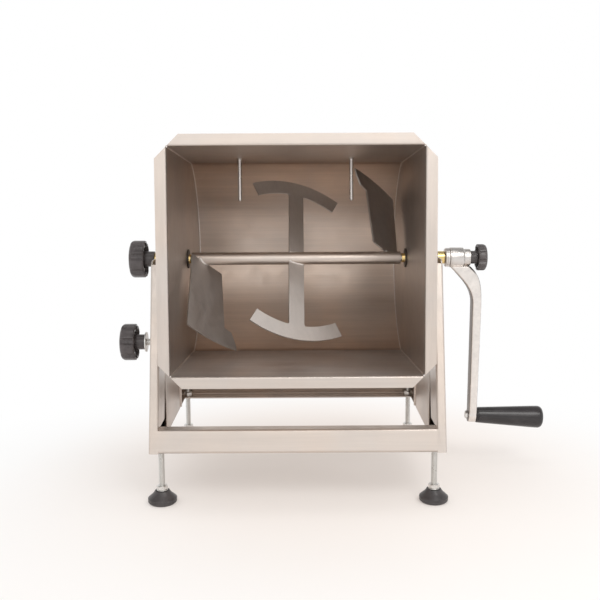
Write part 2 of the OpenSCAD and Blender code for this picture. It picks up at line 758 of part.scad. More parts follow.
// Side view of the crank's arm, in (X, Z): an S-bend out from under the hub, then a long straight taper
module arm_outline() {
    drop = [0, -arm_bend_drop];
    hub_low = [0, cut_over - hub_d / 2];
    in_hub = [hub_x0 + cut_over, 0];
    out_hub = [hub_x2, 0];
    out_knee = [arm_out_x + arm_knee_out, 0];
    in_knee = out_knee - [arm_top_t, 0];
    inner = [for (s = arm_inner_shares) in_hub + (in_knee - in_hub) * s[0] + drop * s[1]];
    outer = [for (s = arm_outer_shares) out_hub + (out_knee - out_hub) * s[0] + drop * s[1]];
    polygon(concat(
        [for (k = [0:curve_steps])
            curve_point(in_hub + hub_low, inner[0], inner[1], in_knee + drop, k / curve_steps)],
        [[arm_out_x - arm_end_t, -crank_r], [arm_out_x, -crank_r]],
        [for (k = [0:curve_steps])
            curve_point(out_knee + drop, outer[0], outer[1], out_hub + hub_low, k / curve_steps)]
    ));
}

// Frame of the grip: along X from the arm's outer face, drooping
module at_grip() at_shaft() translate([arm_out_x, 0, -crank_r]) rotate([0, grip_droop_angle, 0]) children();

module crank_arm() color(cast) difference() {
    union() {
        at_shaft() bar_x(hub_x0, hub_x1, hub_d);
        at_shaft() bar_x(hub_x1 - cut_over, hub_x2, hub_end_d);
        at_shaft() translate([0, arm_w / 2, 0]) rotate([90, 0, 0]) linear_extrude(arm_w) arm_outline();
        at_grip() bar_x(boss_in_x, 0, arm_boss_d);
    }
    at_shaft() bar_x(hub_x0 - cut_over, hub_x2 + cut_over, shaft_d + 2 * run_gap);
    at_grip() bar_x(boss_in_x - cut_over, cut_over, spindle_end_d);
}

// Shoulder bolt that the grip turns on, its head sunk in the grip's outer end
module grip_spindle() color(zinc) at_grip() {
    head_x = grip_len - grip_recess + grip_gap;
    bar_x(boss_in_x - spindle_nut_h, grip_gap, spindle_end_d);
    bar_x(0, head_x, spindle_d);
    bar_x(head_x, head_x + spindle_head_h, spindle_head_d);
}

module spindle_nut() color(zinc) at_grip() difference() {
    translate([boss_in_x - spindle_nut_h, 0, 0]) rotate([0, 90, 0]) hex_bar(spindle_nut_af, spindle_nut_h);
    bar_x(boss_in_x - spindle_nut_h - cut_over, boss_in_x + cut_over, spindle_end_d);
}

// Grip, turned: tapered, with a rounded outer end
module crank_grip() color(rubber) at_grip() rotate([0, 90, 0]) {
    end_r = grip_out_d * grip_round_share;
    bore = spindle_d / 2 + run_gap;
    rotate_extrude() difference() {
        union() {
            polygon([
                [0, grip_gap], [grip_in_d / 2, grip_gap], [grip_out_d / 2, grip_len - end_r],
                [grip_out_d / 2 - end_r, grip_len], [0, grip_len]
            ]);
            intersection() {
                translate([grip_out_d / 2 - end_r, grip_len - end_r]) circle(r = end_r);
                translate([0, grip_len - end_r]) square([grip_out_d, end_r]);
            }
        }
        translate([0, -cut_over]) square([bore, grip_len + 2 * cut_over]);
        translate([0, grip_len - grip_recess]) square([grip_recess_d / 2, grip_recess + cut_over]);
    }
}

// Star knob, drawn with its neck's end at the origin and its head towards +Z
module star_knob(d, h, neck_d, neck_h, bore_d, bore_h) {
    groove_r = d * knob_groove_share;
    rim = d * knob_rim_share;
    recess_w = d / 2 - 3 * rim - neck_d / 2;
    difference() {
        rotate_extrude() difference() {
            union() {
                square([neck_d / 2, neck_h + h / 2]);
                polygon(concat(
                    [[0, neck_h], [d / 2 - rim / 2, neck_h], [d / 2, neck_h + rim / 2]],
                    [for (s = knob_edge_shares) [d / 2 - s[0] * rim, neck_h + h - s[1] * rim]],
                    [[0, neck_h + h]]
                ));
            }
            translate([neck_d / 2, neck_h - cut_over]) square([recess_w, h * knob_recess_share + cut_over]);
        }
        for (k = [0:knob_lobes - 1]) rotate(360 * (k + 1 / 2) / knob_lobes)
            translate([d / 2 + groove_r * knob_groove_out_share, 0, neck_h - cut_over])
                cylinder(r = groove_r, h = h + 2 * cut_over);
        translate([0, 0, -cut_over]) cylinder(d = bore_d, h = bore_h + cut_over);
    }
}

module crank_knob_head() color(moulded) at_shaft() translate([hub_x2, 0, 0]) rotate([0, 90, 0])
    star_knob(crank_knob_d, crank_knob_h, crank_knob_neck_d, crank_knob_neck_h, crank_stud_d, knob_bore);

module crank_knob_stud() color(zinc) at_shaft()
    bar_x(crank_shaft_end - crank_stud_len, hub_x2 + knob_bore, crank_stud_d);

module pivot_knob_head() color(moulded) at_shaft() translate([sleeve_left_x, 0, 0]) rotate([0, -90, 0])
    star_knob(knob_d, knob_h, knob_neck_d, knob_neck_h, shaft_d, knob_bore);

// Spindle of the upper knob: threaded in the left sleeve, with a smooth tip in the tube's plug
module pivot_spindle() color(zinc) at_shaft() {
    bar_x(sleeve_left_x - knob_bore, tube_left_x - nose_play, shaft_d);
    bar_x(tube_left_x - nose_play - cut_over, tube_left_x + pivot_tip_len, pivot_tip_d);
}

// Frame of the lock, along its stud
module at_lock() at_shaft() translate([0, 0, -lock_drop]) children();

module lock_knob_head() color(moulded) at_lock() translate([lock_rest_face, 0, 0]) rotate([0, -90, 0])
    star_knob(knob_d, knob_h, knob_neck_d, knob_neck_h, lock_stud_d, knob_bore);

module lock_stud() color(zinc) at_lock()
    bar_x(lock_rest_face - knob_bore, lock_rest_tip, lock_stud_d);

module lock_washer() color(zinc) at_lock() difference() {
    bar_x(lock_rest_face, lock_rest_face + lock_washer_h, lock_washer_d);
    bar_x(lock_rest_face - cut_over, lock_rest_face + lock_washer_h + cut_over, lock_stud_d + 2 * run_gap);
}

// Levelling foot, drawn about its own axis with the floor at zero
module foot_bolt() {
    top = frame_clear + frame_sheet + foot_nut_h + foot_stud_spare;
    translate([0, 0, pad_h / 2]) cylinder(d = foot_stud_d, h = top - pad_h / 2);
    translate([0, 0, pad_h]) hex_bar(foot_nut_af, collar_h);
}

module foot_pad() {
    band = pad_h * pad_band_share;
    bevel = pad_h * pad_bevel_share;
    difference() {
        union() {
            cylinder(d1 = pad_d - 2 * bevel, d2 = pad_d, h = bevel);
            translate([0, 0, bevel]) cylinder(d = pad_d, h = band - bevel);
            translate([0, 0, band]) cylinder(d1 = pad_d, d2 = pad_top_d, h = pad_h - band);
        }
        translate([0, 0, pad_h / 2]) cylinder(d = foot_stud_d, h = pad_h);
    }
}

// Puts a foot under one corner: side -1 left, 1 right; end -1 front, 1 rear
module at_foot(side, end) translate([side * foot_x - mid_x, end * foot_y - mid_y, 0]) children();

module foot_bolt_fl() color(zinc) at_foot(-1, -1) foot_bolt();
module foot_bolt_fr() color(zinc) at_foot(1, -1) foot_bolt();
module foot_bolt_rl() color(zinc) at_foot(-1, 1) foot_bolt();
module foot_bolt_rr() color(zinc) at_foot(1, 1) foot_bolt();
module foot_pad_fl() color(rubber) at_foot(-1, -1) foot_pad();
module foot_pad_fr() color(rubber) at_foot(1, -1) foot_pad();
module foot_pad_rl() color(rubber) at_foot(-1, 1) foot_pad();
module foot_pad_rr() color(rubber) at_foot(1, 1) foot_pad();

side_frame_left();
side_frame_right();
front_rail();
rear_rail();
foot_nuts();
sleeve_left();
sleeve_right();
sleeve_nuts();
lock_boss();
tilt_stop();
tank_wrap();
tank_end_left();
tank_end_right();
tank_hub_rings();
wall_seals();
index_plate();
breaker_pins();
agitator_tube();
tube_plug();
drive_shaft();
drive_pin();
paddle_left();
paddle_centre_up();
paddle_centre_down();
paddle_right();
thrust_collar();
crank_arm();
grip_spindle();
spindle_nut();
crank_grip();
crank_knob_head();
crank_knob_stud();
pivot_knob_head();
pivot_spindle();
lock_knob_head();
lock_stud();
lock_washer();
foot_bolt_fl();
foot_bolt_fr();
foot_bolt_rl();
foot_bolt_rr();
foot_pad_fl();
foot_pad_fr();
foot_pad_rl();
foot_pad_rr();
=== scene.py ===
"""Looks of the hand-cranked meat mixer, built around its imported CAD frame.
Metres, +Z up, mouth towards -Y, crank towards +X."""

import math

import bmesh
import bpy
from mathutils import Matrix, Vector


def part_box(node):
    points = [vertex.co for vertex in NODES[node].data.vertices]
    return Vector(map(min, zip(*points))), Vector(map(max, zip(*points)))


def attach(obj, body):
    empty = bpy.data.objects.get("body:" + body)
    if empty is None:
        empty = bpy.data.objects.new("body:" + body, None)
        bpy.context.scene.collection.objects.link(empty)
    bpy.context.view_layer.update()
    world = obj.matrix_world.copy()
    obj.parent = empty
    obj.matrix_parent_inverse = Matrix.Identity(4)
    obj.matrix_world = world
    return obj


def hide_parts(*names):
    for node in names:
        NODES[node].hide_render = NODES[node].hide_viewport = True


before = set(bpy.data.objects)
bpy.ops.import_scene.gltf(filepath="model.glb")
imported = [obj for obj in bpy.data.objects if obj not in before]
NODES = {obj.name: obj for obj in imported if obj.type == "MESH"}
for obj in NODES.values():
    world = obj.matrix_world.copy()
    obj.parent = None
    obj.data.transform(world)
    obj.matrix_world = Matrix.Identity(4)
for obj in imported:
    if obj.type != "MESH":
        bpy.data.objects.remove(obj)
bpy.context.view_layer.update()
MM = 0.001
TINY_GAP = 0.05 * MM
SAME_PLACE = 1e-7
MERGE_WITHIN = 1e-6
TURN = 2 * math.pi


# Places taken from the frame

def box_of(node):
    low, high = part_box(node)
    return Vector(low), Vector(high)


def centre_of(node):
    low, high = box_of(node)
    return (low + high) / 2


def span_x(node):
    """Lowest and highest X of a node, measured from the middle of the shaft."""
    low, high = box_of(node)
    return low.x - SHAFT.x, high.x - SHAFT.x


# The tube's middle lies this far to the side of the shaft's origin
TUBE_MID_X = -1 * MM
SHAFT = centre_of("agitator_tube") - Vector((TUBE_MID_X, 0, 0))
# Lean of the whole tank at rest, its mouth looking upward
MOUTH_RISE = math.radians(4.4)
TANK = Matrix.Translation(SHAFT) @ Matrix.Rotation(-MOUTH_RISE, 4, "X")


def linked(name, data):
    """A new object in the scene."""
    obj = bpy.data.objects.new(name, data)
    bpy.context.collection.objects.link(obj)
    return obj


# Camera, at the photograph's viewing angle

CAMERA_FROM_SHAFT = Vector((2.4, -1190.0, 122.4)) * MM
CAMERA_YAW = math.radians(0.08)
CAMERA_PITCH = math.radians(8.72)
CAMERA_ROLL = -0.0055
CAMERA_LENS = 50.39
CAMERA_SENSOR = 36.0


def make_camera():
    forward = Vector((math.sin(CAMERA_YAW) * math.cos(CAMERA_PITCH),
                      math.cos(CAMERA_YAW) * math.cos(CAMERA_PITCH), -math.sin(CAMERA_PITCH)))
    right = Vector((math.cos(CAMERA_YAW), -math.sin(CAMERA_YAW), 0))
    up = right.cross(forward)
    right_rolled = right * math.cos(CAMERA_ROLL) + up * math.sin(CAMERA_ROLL)
    up_rolled = up * math.cos(CAMERA_ROLL) - right * math.sin(CAMERA_ROLL)
    data = bpy.data.cameras.new("camera")
    data.lens = CAMERA_LENS
    data.sensor_width = CAMERA_SENSOR
    cam = linked("camera", data)
    turn = Matrix((right_rolled, up_rolled, -forward)).transposed()
    cam.matrix_world = Matrix.Translation(SHAFT + CAMERA_FROM_SHAFT) @ turn.to_4x4()
    bpy.context.scene.camera = cam


make_camera()


# Node materials

class Nodes:
    """A node tree in the making: short calls for the nodes that finishes, floor and world share."""

    def __init__(self, owner):
        owner.use_nodes = True
        self.tree = owner.node_tree

    def feed(self, socket, value):
        """Links a socket to an output, or gives it a value."""
        if isinstance(value, bpy.types.NodeSocket):
            self.tree.links.new(value, socket)
        else:
            socket.default_value = value

    def node(self, kind, inputs):
        """A new node with its named or numbered inputs fed."""
        node = self.tree.nodes.new("ShaderNode" + kind)
        for key, value in inputs.items():
            self.feed(node.inputs[key], value)
        return node

    def coord(self, kind):
        return self.node("TexCoord", {}).outputs[kind]

    def spread(self, value, low, high, to_low, to_high, shape="LINEAR"):
        node = self.node("MapRange", {"Value": value, "From Min": low, "From Max": high, "To Min": to_low,
                                      "To Max": to_high})
        node.interpolation_type = shape
        return node.outputs["Result"]

    def maths(self, operation, a, b):
        node = self.node("Math", {0: a, 1: b})
        node.operation = operation
        return node.outputs[0]

    def mix(self, factor, a, b):
        """Mixes two colours, each of them a tuple or an output."""
        node = self.node("Mix", {})
        node.data_type = "RGBA"
        for key, value in (("Factor", factor), ("A", a), ("B", b)):
            self.feed(node.inputs[key], (*value, 1.0) if isinstance(value, tuple) else value)
        return node.outputs["Result"]

    def blend(self, factor, a, b):
        """Mixes two shaders."""
        return self.node("MixShader", {"Fac": factor, 1: a, 2: b}).outputs["Shader"]

    def surface(self, output, shader):
        self.feed(self.tree.nodes[output].inputs["Surface"], shader)


class Paint(Nodes):
    """A node material in the making."""

    def __init__(self, name):
        self.mat = bpy.data.materials.new(name)
        super().__init__(self.mat)
        self.bsdf = self.tree.nodes["Principled BSDF"]
        self.place = self.coord("Object")

    def set(self, key, value):
        self.feed(self.bsdf.inputs[key], value)

    def noise(self, scale, detail=3.0, rough=0.5, distortion=0.0):
        """A noise of that many cells per metre, alike on all axes or one number for each."""
        if isinstance(scale, (int, float)):
            scale = (scale, scale, scale)
        mapped = self.node("Mapping", {"Vector": self.place, "Scale": scale}).outputs[0]
        inputs = {"Vector": mapped, "Scale": 1.0, "Detail": detail, "Roughness": rough,
                  "Distortion": distortion}
        return self.node("TexNoise", inputs).outputs["Fac"]

    def bump(self, height, distance, strength):
        inputs = {"Height": height, "Distance": distance, "Strength": strength}
        self.set("Normal", self.node("Bump", inputs).outputs["Normal"])


def scaled(colour, factor):
    return tuple(min(c * factor, 0.97) for c in colour)


# Tints of the steels: the wall tint is painted shade, the bowl tint a painted warm reflection, the bottom
# tint painted light
STEEL = (0.675, 0.585, 0.52)
PLATE_TINT = (0.66, 0.60, 0.56)
# Darker tint for faces that look along X: painted shade
WALL_PAINTED_SHADE_TINT = (0.60, 0.52, 0.465)
# Warmer tint for the back of the tank: painted warm reflection
BOWL_PAINTED_REFLECTION_TINT = (0.69, 0.56, 0.47)
# Paler, greyer tint for the tank's floor: painted light
BOTTOM_PAINTED_LIGHT_TINT = (0.74, 0.69, 0.665)
# Noise cells per metre
GRAIN_ALONG = 25.0
GRAIN_ACROSS = 2600.0
BAND_ALONG = 5
BAND_ACROSS = 150
CLOUD_CELLS = 8
SMEAR_CELLS = 34
METAL_CLOUD_CELLS = 60
HANDLED_CELLS = 45
# Depth of the brushed grain, and how much paler handled patches are
GRAIN_DEPTH = 0.000012
HANDLED_PALER = 1.7


def brushed(name, axis, tint=STEEL, rough=0.40, contrast=0.045, cool=0.3):
    """Satin stainless sheet, brushed along one axis, with soft bands and cloudy wiping marks that
    turn its tint towards grey by the cool share."""
    p = Paint(name)

    def along(near, across):
        scale = [across] * 3
        scale["XYZ".index(axis)] = near
        return scale

    fine = p.noise(along(GRAIN_ALONG, GRAIN_ACROSS), detail=2.0)
    streak = p.noise(along(GRAIN_ALONG / 4, GRAIN_ACROSS / 4), detail=2.0)
    band = p.noise(along(BAND_ALONG, BAND_ACROSS), detail=3.0, rough=0.6)
    cloud = p.noise(CLOUD_CELLS, detail=4.0, rough=0.55, distortion=0.6)
    smear = p.noise(SMEAR_CELLS, detail=3.0, rough=0.6, distortion=1.2)
    shade = p.maths("ADD", p.spread(fine, 0.3, 0.7, -0.15, 0.15), p.spread(streak, 0.3, 0.7, -0.15, 0.15))
    shade = p.maths("ADD", shade, p.spread(band, 0.3, 0.7, 0.05, 0.95))
    grey = sum(tint) / 3
    cooled = tuple(c + (grey - c) * cool for c in tint)
    warm_mix, cool_mix = (p.mix(shade, scaled(t, 1 - contrast), scaled(t, 1 + contrast))
                          for t in (tint, cooled))
    p.set("Base Color", p.mix(p.spread(cloud, 0.35, 0.65, 0, 1), warm_mix, cool_mix))
    worn = p.maths("ADD", p.spread(cloud, 0.3, 0.7, rough - 0.05, rough + 0.05),
                   p.spread(smear, 0.35, 0.7, -0.03, 0.05))
    p.set("Roughness", p.maths("ADD", worn, p.spread(band, 0.3, 0.7, -0.04, 0.04)))
    p.bump(p.maths("ADD", fine, p.maths("MULTIPLY", streak, 0.5)), GRAIN_DEPTH, 0.5)
    p.set("Metallic", 1.0)
    return p.mat


def metal(name, tint, rough, cell, depth, contrast=0.08):
    """Metal with a grain alike in all directions: cast, plated or turned."""
    p = Paint(name)
    grain = p.noise(cell, detail=4.0, rough=0.6)
    cloud = p.noise(METAL_CLOUD_CELLS, distortion=0.4)
    p.set("Base Color", p.mix(p.spread(p.maths("ADD", grain, cloud), 0.7, 1.3, 0, 1),
                              scaled(tint, 1 - contrast), scaled(tint, 1 + contrast)))
    p.set("Roughness", p.spread(cloud, 0.3, 0.7, rough - 0.05, rough + 0.07))
    p.bump(grain, depth, 0.7)
    p.set("Metallic", 1.0)
    return p.mat


def plastic(name, tint, rough, cell=900, depth=0.00004):
    """Moulded plastic or rubber with a fine grain and paler, handled patches."""
    p = Paint(name)
    cloud = p.noise(HANDLED_CELLS, detail=4.0, rough=0.6)
    p.set("Base Color", p.mix(p.spread(cloud, 0.42, 0.75, 0, 1), tint, scaled(tint, HANDLED_PALER)))
    p.set("Roughness", p.spread(cloud, 0.3, 0.7, rough - 0.05, rough + 0.08))
    p.bump(p.noise(cell), depth, 0.8)
    return p.mat


STEEL_X = brushed("stainless_brushed_x", "X")
# Faces that look along X: darker steel as painted shade
STEEL_Z_PAINTED_SHADE = brushed("stainless_brushed_z_painted_shade", "Z", tint=WALL_PAINTED_SHADE_TINT, cool=0.35)
STEEL_UP = brushed("stainless_brushed_up", "Z")
STEEL_Y = brushed("stainless_brushed_y", "Y")
# Back of the tank: warmer steel as a painted reflection
STEEL_BOWL_PAINTED_REFLECTION = brushed("stainless_bowl_painted_reflection", "X", tint=BOWL_PAINTED_REFLECTION_TINT, contrast=0.07)
# Floor of the tank: paler, greyer steel as painted light
STEEL_BOTTOM_PAINTED_LIGHT = brushed("stainless_bottom_painted_light", "X", tint=BOTTOM_PAINTED_LIGHT_TINT, contrast=0.08)
PLATE = brushed("stainless_plate", "Z", tint=PLATE_TINT, rough=0.50)
# Tint, roughness, grain cells per metre and grain depth
WELD = metal("weld_bead", (0.84, 0.80, 0.77), 0.34, 420, 0.00008)
ZINC = metal("zinc_plated", (0.76, 0.75, 0.73), 0.30, 500, 0.00001)
BRASS = metal("brass_turned", (0.80, 0.60, 0.27), 0.22, 700, 0.00002)
CAST = metal("cast_aluminium", (0.82, 0.77, 0.73), 0.36, 240, 0.00006)
# Sides of the crank arm: rougher as-cast finish, and darker as painted shade
CAST_SIDE_PAINTED_SHADE = metal("cast_aluminium_side_painted_shade", (0.36, 0.34, 0.33), 0.5, 180, 0.00014)
TURNED = metal("turned_aluminium", (0.69, 0.655, 0.63), 0.28, 800, 0.000002, contrast=0.03)
KNOB = plastic("knob_moulded", (0.072, 0.063, 0.064), 0.27, depth=0.00002)
GRIP = plastic("grip_smooth", (0.026, 0.023, 0.024), 0.20, cell=400, depth=0.00002)
PAD = plastic("pad_rubber", (0.045, 0.040, 0.041), 0.36)
SEAL = plastic("seal_rubber", (0.050, 0.038, 0.030), 0.45)


# Mesh helpers

# Segments of turned pieces
ROUND = 72
FINE_ROUND = 96
TOO_SHORT = 1e-9
NEARLY_STRAIGHT = math.radians(172)
CORNER_REACH = 0.45
HEX_FACE_SHARE = 0.97
RIPPLE_PITCH = 1.7 * MM
RIPPLE_DEPTH = 0.10
BEAD_STEP = 0.42 * MM
THREAD_SHARE = 0.61
THREAD_LEAD = 0.8 * MM
THREAD_ROUND = 28
SIDE_FACING = 0.72
# Places of the materials for tagged faces
UP_INDEX = 2
# The bowl's material is a painted warm reflection, the bottom's painted light
BOWL_INDEX = 3
BOTTOM_INDEX = 4


def placed(origin, axis):
    """Frame at a point, with its local Z along the axis."""
    turn = Vector((0, 0, 1)).rotation_difference(Vector(axis)).to_matrix().to_4x4()
    return Matrix.Translation(origin) @ turn


def even_normals(obj):
    """Shades large faces flat and leaves the change of direction to the small ones at their edges."""
    mod = obj.modifiers.new("normals", "WEIGHTED_NORMAL")
    mod.keep_sharp = True
    mod.weight = 100


def piece(name, bm, material, body, nodes=(), place=Matrix.Identity(4), sharp=35, side=None, more=(),
          flat=False):
    """Makes a mesh object that rides on a body and stands for some CAD nodes. Side: the material of
    its faces that look along X. More: the materials of the tagged faces. Flat: its large
    faces shade as flat sheet."""
    bm.transform(place)
    bmesh.ops.recalc_face_normals(bm, faces=bm.faces)
    bm.normal_update()
    for f in bm.faces:
        # Faces that look along X take the side material, in every use a darker one that paints shade
        if side and abs(f.normal.x) > SIDE_FACING:
            f.material_index = 1
        elif f.material_index < UP_INDEX:
            f.material_index = 0
    mesh = bpy.data.meshes.new(name)
    bm.to_mesh(mesh)
    bm.free()
    mesh.shade_smooth()
    mesh.set_sharp_from_angle(angle=math.radians(sharp))
    for m in [material] + ([side, *more] if side else []):
        mesh.materials.append(m)
    obj = linked(name, mesh)
    if flat:
        even_normals(obj)
    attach(obj, body)
    if nodes:
        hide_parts(*nodes)
    return obj


def together(*parts):
    """One bmesh out of several, each alone or in a pair with the matrix that places it."""
    whole = bmesh.new()
    for part in parts:
        bm, place = part if isinstance(part, tuple) else (part, Matrix.Identity(4))
        bm.transform(place)
        bmesh.ops.recalc_face_normals(bm, faces=bm.faces)
        mesh = bpy.data.meshes.new("part")
        bm.to_mesh(mesh)
        bm.free()
        whole.from_mesh(mesh)
        bpy.data.meshes.remove(mesh)
    return whole


def rounded(points, radius, steps=3, closed=False):
    """A polyline with its corners rounded by arcs of about that radius."""
    out = []
    n = len(points)
    for i, (x, y) in enumerate(points):
        if not closed and i in (0, n - 1):
            out.append((x, y))
            continue
        here = Vector((x, y))
        back = Vector(points[i - 1]) - here
        ahead = Vector(points[(i + 1) % n]) - here
        if min(back.length, ahead.length) < TOO_SHORT or back.angle(ahead) > NEARLY_STRAIGHT:
            out.append((x, y))
            continue
        reach = min(radius, back.length * CORNER_REACH, ahead.length * CORNER_REACH)
        a = here + back.normalized() * reach
        b = here + ahead.normalized() * reach
        for k in range(steps + 1):
            t = k / steps
            p = a * (1 - t) ** 2 + here * 2 * t * (1 - t) + b * t ** 2
            out.append((p.x, p.y))
    return out


def ring_faces(bm, a, b):
    """Joins two rings of vertices, either of which may be a single point."""
    n = max(len(a), len(b))
    for i in range(n):
        j = (i + 1) % n
        if len(a) == 1:
            bm.faces.new((a[0], b[i], b[j]))
        elif len(b) == 1:
            bm.faces.new((a[i], b[0], a[j]))
        else:
            bm.faces.new((a[i], b[i], b[j], a[j]))


def off(z, r, *points):
    """Points of an outline, in millimetres from a place on the axis and a radius."""
    return [(z + a * MM, r + b * MM) for a, b in points]


def lathe(profile, segments=ROUND, bored=False, wave=None):
    """Solid of revolution about Z from (z, r) points. Bored: the profile is a closed loop round the
    section. Wave: the radius out of a point's number, its r and the angle."""
    bm = bmesh.new()
    rings = []
    for k, (z, r) in enumerate(profile):
        if r < SAME_PLACE:
            rings.append([bm.verts.new((0, 0, z))])
            continue
        ring = []
        for i in range(segments):
            a = TURN * i / segments
            s = r if wave is None else wave(k, r, a)
            ring.append(bm.verts.new((s * math.cos(a), s * math.sin(a), z)))
        rings.append(ring)
    for a, b in zip(rings, rings[1:] + ([rings[0]] if bored else [])):
        if len(a) > 1 or len(b) > 1:
            ring_faces(bm, a, b)
    return bm


def turned(x0, x1, d, soft=0.4 * MM):
    """Plain turned bar with softened ends."""
    return lathe(rounded([(x0, 0), (x0, d / 2), (x1, d / 2), (x1, 0)], soft))


def ring(x0, x1, d, bore, soft=0.4 * MM, segments=ROUND):
    """Turned ring with softened edges."""
    loop = [(x0, bore / 2), (x0, d / 2), (x1, d / 2), (x1, bore / 2)]
    return lathe(rounded(loop, soft, closed=True), segments, bored=True)


def threaded(z0, z1, d, pitch):
    """Screw thread from z0 to z1, tapered over the lead at both ends, with closed ends."""
    bm = bmesh.new()
    depth = THREAD_SHARE * pitch
    root, crest = d / 2 - depth, d / 2
    shape = (root, crest, crest, root)
    steps = len(shape)
    count = int((z1 - z0) / pitch + 2) * steps
    columns = []
    for i in range(THREAD_ROUND):
        a = TURN * i / THREAD_ROUND
        column = []
        for j in range(count + 1):
            z = z0 + pitch * (j / steps + i / THREAD_ROUND - 1)
            z = min(max(z, z0), z1)
            taper = root - 0.1 * MM + min(z - z0, z1 - z) * depth / THREAD_LEAD
            r = min(shape[j % steps], taper)
            column.append(bm.verts.new((r * math.cos(a), r * math.sin(a), z)))
        columns.append(column)
    for i in range(THREAD_ROUND):
        a, b = columns[i], columns[(i + 1) % THREAD_ROUND]
        shift = steps if i == THREAD_ROUND - 1 else 0
        for j in range(count - shift):
            bm.faces.new((a[j], b[j + shift], b[j + 1 + shift], a[j + 1]))
    bmesh.ops.remove_doubles(bm, verts=bm.verts, dist=SAME_PLACE)
    bmesh.ops.holes_fill(bm, edges=[e for e in bm.edges if e.is_boundary], sides=0)
    return bm


def hexagonal(r, angle):
    """Distance from the axis to a hexagon's side in that direction, r being the least."""
    return r / math.cos(angle % (TURN / 6) - TURN / 12)


def hex_nut(af, h, bore, chamfer=0.6 * MM):
    """Hexagon from z = 0 to h, its corners taken off by a 30 degree chamfer at both ends."""
    bm = bmesh.new()
    flat = af / 2 * HEX_FACE_SHARE
    slant = math.tan(math.radians(30))
    rows = []
    for i in range(ROUND):
        a = TURN * i / ROUND
        corner = hexagonal(af / 2, a)
        drop = (corner - flat) * slant
        rows.append([bm.verts.new((r * math.cos(a), r * math.sin(a), z)) for r, z in (
            (bore / 2, chamfer), (bore / 2 + chamfer, 0), (flat, 0), (corner, drop),
            (corner, h - drop), (flat, h), (bore / 2 + chamfer, h), (bore / 2, h - chamfer))])
    for a, b in zip(rows, rows[1:] + rows[:1]):
        ring_faces(bm, a, b)
    return bm


def sweep(path, radius, sides=10):
    """Round bead along a path of points; radius is a number or a function of the share of the way."""
    bm = bmesh.new()
    n = len(path)
    rings = []
    side = None
    for k, point in enumerate(path):
        ahead = (path[min(k + 1, n - 1)] - path[max(k - 1, 0)]).normalized()
        if side is None:
            side = ahead.orthogonal().normalized()
        side = (side - ahead * side.dot(ahead)).normalized()
        other = ahead.cross(side)
        r = radius(k / (n - 1)) if callable(radius) else radius
        around = [(math.cos(TURN * i / sides), math.sin(TURN * i / sides)) for i in range(sides)]
        rings.append([bm.verts.new(point + (side * c + other * s) * r) for c, s in around])
    ends = [[bm.verts.new(path[0])], [bm.verts.new(path[-1])]]
    for a, b in zip([ends[0]] + rings, rings + [ends[1]]):
        ring_faces(bm, a, b)
    return bm


def ripple(length, size):
    """Radius along a weld bead: rounded ends and a ripple for each step of the torch."""
    def radius(share):
        s = share * length
        end = min(s, length - s)
        cap = math.sqrt(max(0.0, 1 - (1 - min(end / size, 1)) ** 2))
        return size * max(cap, 0.05) * (1 + RIPPLE_DEPTH * math.sin(TURN * s / RIPPLE_PITCH))
    return radius


def bead(path, size):
    """Weld bead along a path that is cut into short even steps."""
    length = sum((b - a).length for a, b in zip(path, path[1:]))
    count = max(int(length / BEAD_STEP), 6)
    out = []
    walked = 0.0
    k = 0
    for i in range(count + 1):
        target = length * i / count
        while k < len(path) - 2 and walked + (path[k + 1] - path[k]).length < target:
            walked += (path[k + 1] - path[k]).length
            k += 1
        leg = path[k + 1] - path[k]
        out.append(path[k] + leg * min((target - walked) / leg.length, 1.0))
    return sweep(out, ripple(length, size))


def ring_bead(radius, z, size, steps):
    """Weld bead round the axis."""
    turns = [TURN * i / steps for i in range(steps + 1)]
    return bead([Vector((radius * math.cos(a), radius * math.sin(a), z)) for a in turns], size)


def evaluated(obj):
    """The mesh of an object with its modifiers applied."""
    return bpy.data.meshes.new_from_object(obj.evaluated_get(bpy.context.evaluated_depsgraph_get()))


# Fasteners and feet

FOOT_D = 8 * MM
FOOT_PITCH = 1.25 * MM
FOOT_HEX = 13 * MM
FOOT_HEX_H = 5.1 * MM
FLANGE_D = 15 * MM
FLANGE_H = 1.4 * MM
PAD_R = 19 * MM
PAD_TOP_R = 9.5 * MM
PAD_BAND_SHARE = 0.42
CORNERS = ("fl", "fr", "rl", "rr")


def foot_axis(corner):
    c = centre_of("foot_bolt_" + corner)
    return Vector((c.x, c.y, 0))


def make_foot(corner):
    bolt_low, bolt_high = box_of("foot_bolt_" + corner)
    pad_low, pad_high = box_of("foot_pad_" + corner)
    top = pad_high.z - pad_low.z
    nut_low = top + FLANGE_H
    place = Matrix.Translation(foot_axis(corner) + Vector((0, 0, pad_low.z)))
    bolt = together(
        turned(bolt_low.z - pad_low.z, top + FLANGE_H / 2, FOOT_D * 0.9),
        turned(top, nut_low, FLANGE_D),
        (hex_nut(FOOT_HEX, FOOT_HEX_H, FOOT_D * 0.8), Matrix.Translation((0, 0, nut_low))),
        threaded(nut_low, bolt_high.z - pad_low.z, FOOT_D, FOOT_PITCH))
    piece("foot_stud_" + corner, bolt, ZINC, "foot_" + corner, ["foot_bolt_" + corner], place, 40)
    band = top * PAD_BAND_SHARE
    # From the middle of the underside up to the middle of the top
    outline = [
        (0, 0), *off(0, PAD_R, (0, -2.6), (2.4, -0.15), (3.6, 0), (4.4, -0.5), (4.9, -0.1)),
        *off(band, PAD_R, (0, 0), (1.1, -1.5), (1.8, -2.1)), (top * 0.72, PAD_R - 6.1 * MM),
        (top * 0.9, PAD_TOP_R + 0.9 * MM), *off(top, PAD_TOP_R, (0, 0), (0, -1.1), (-1.2, -1.7)),
        (top - 1.2 * MM, 0)]
    piece("foot_cup_" + corner, lathe(rounded(outline, 0.5 * MM)), PAD, "foot_" + corner,
          ["foot_pad_" + corner], place)


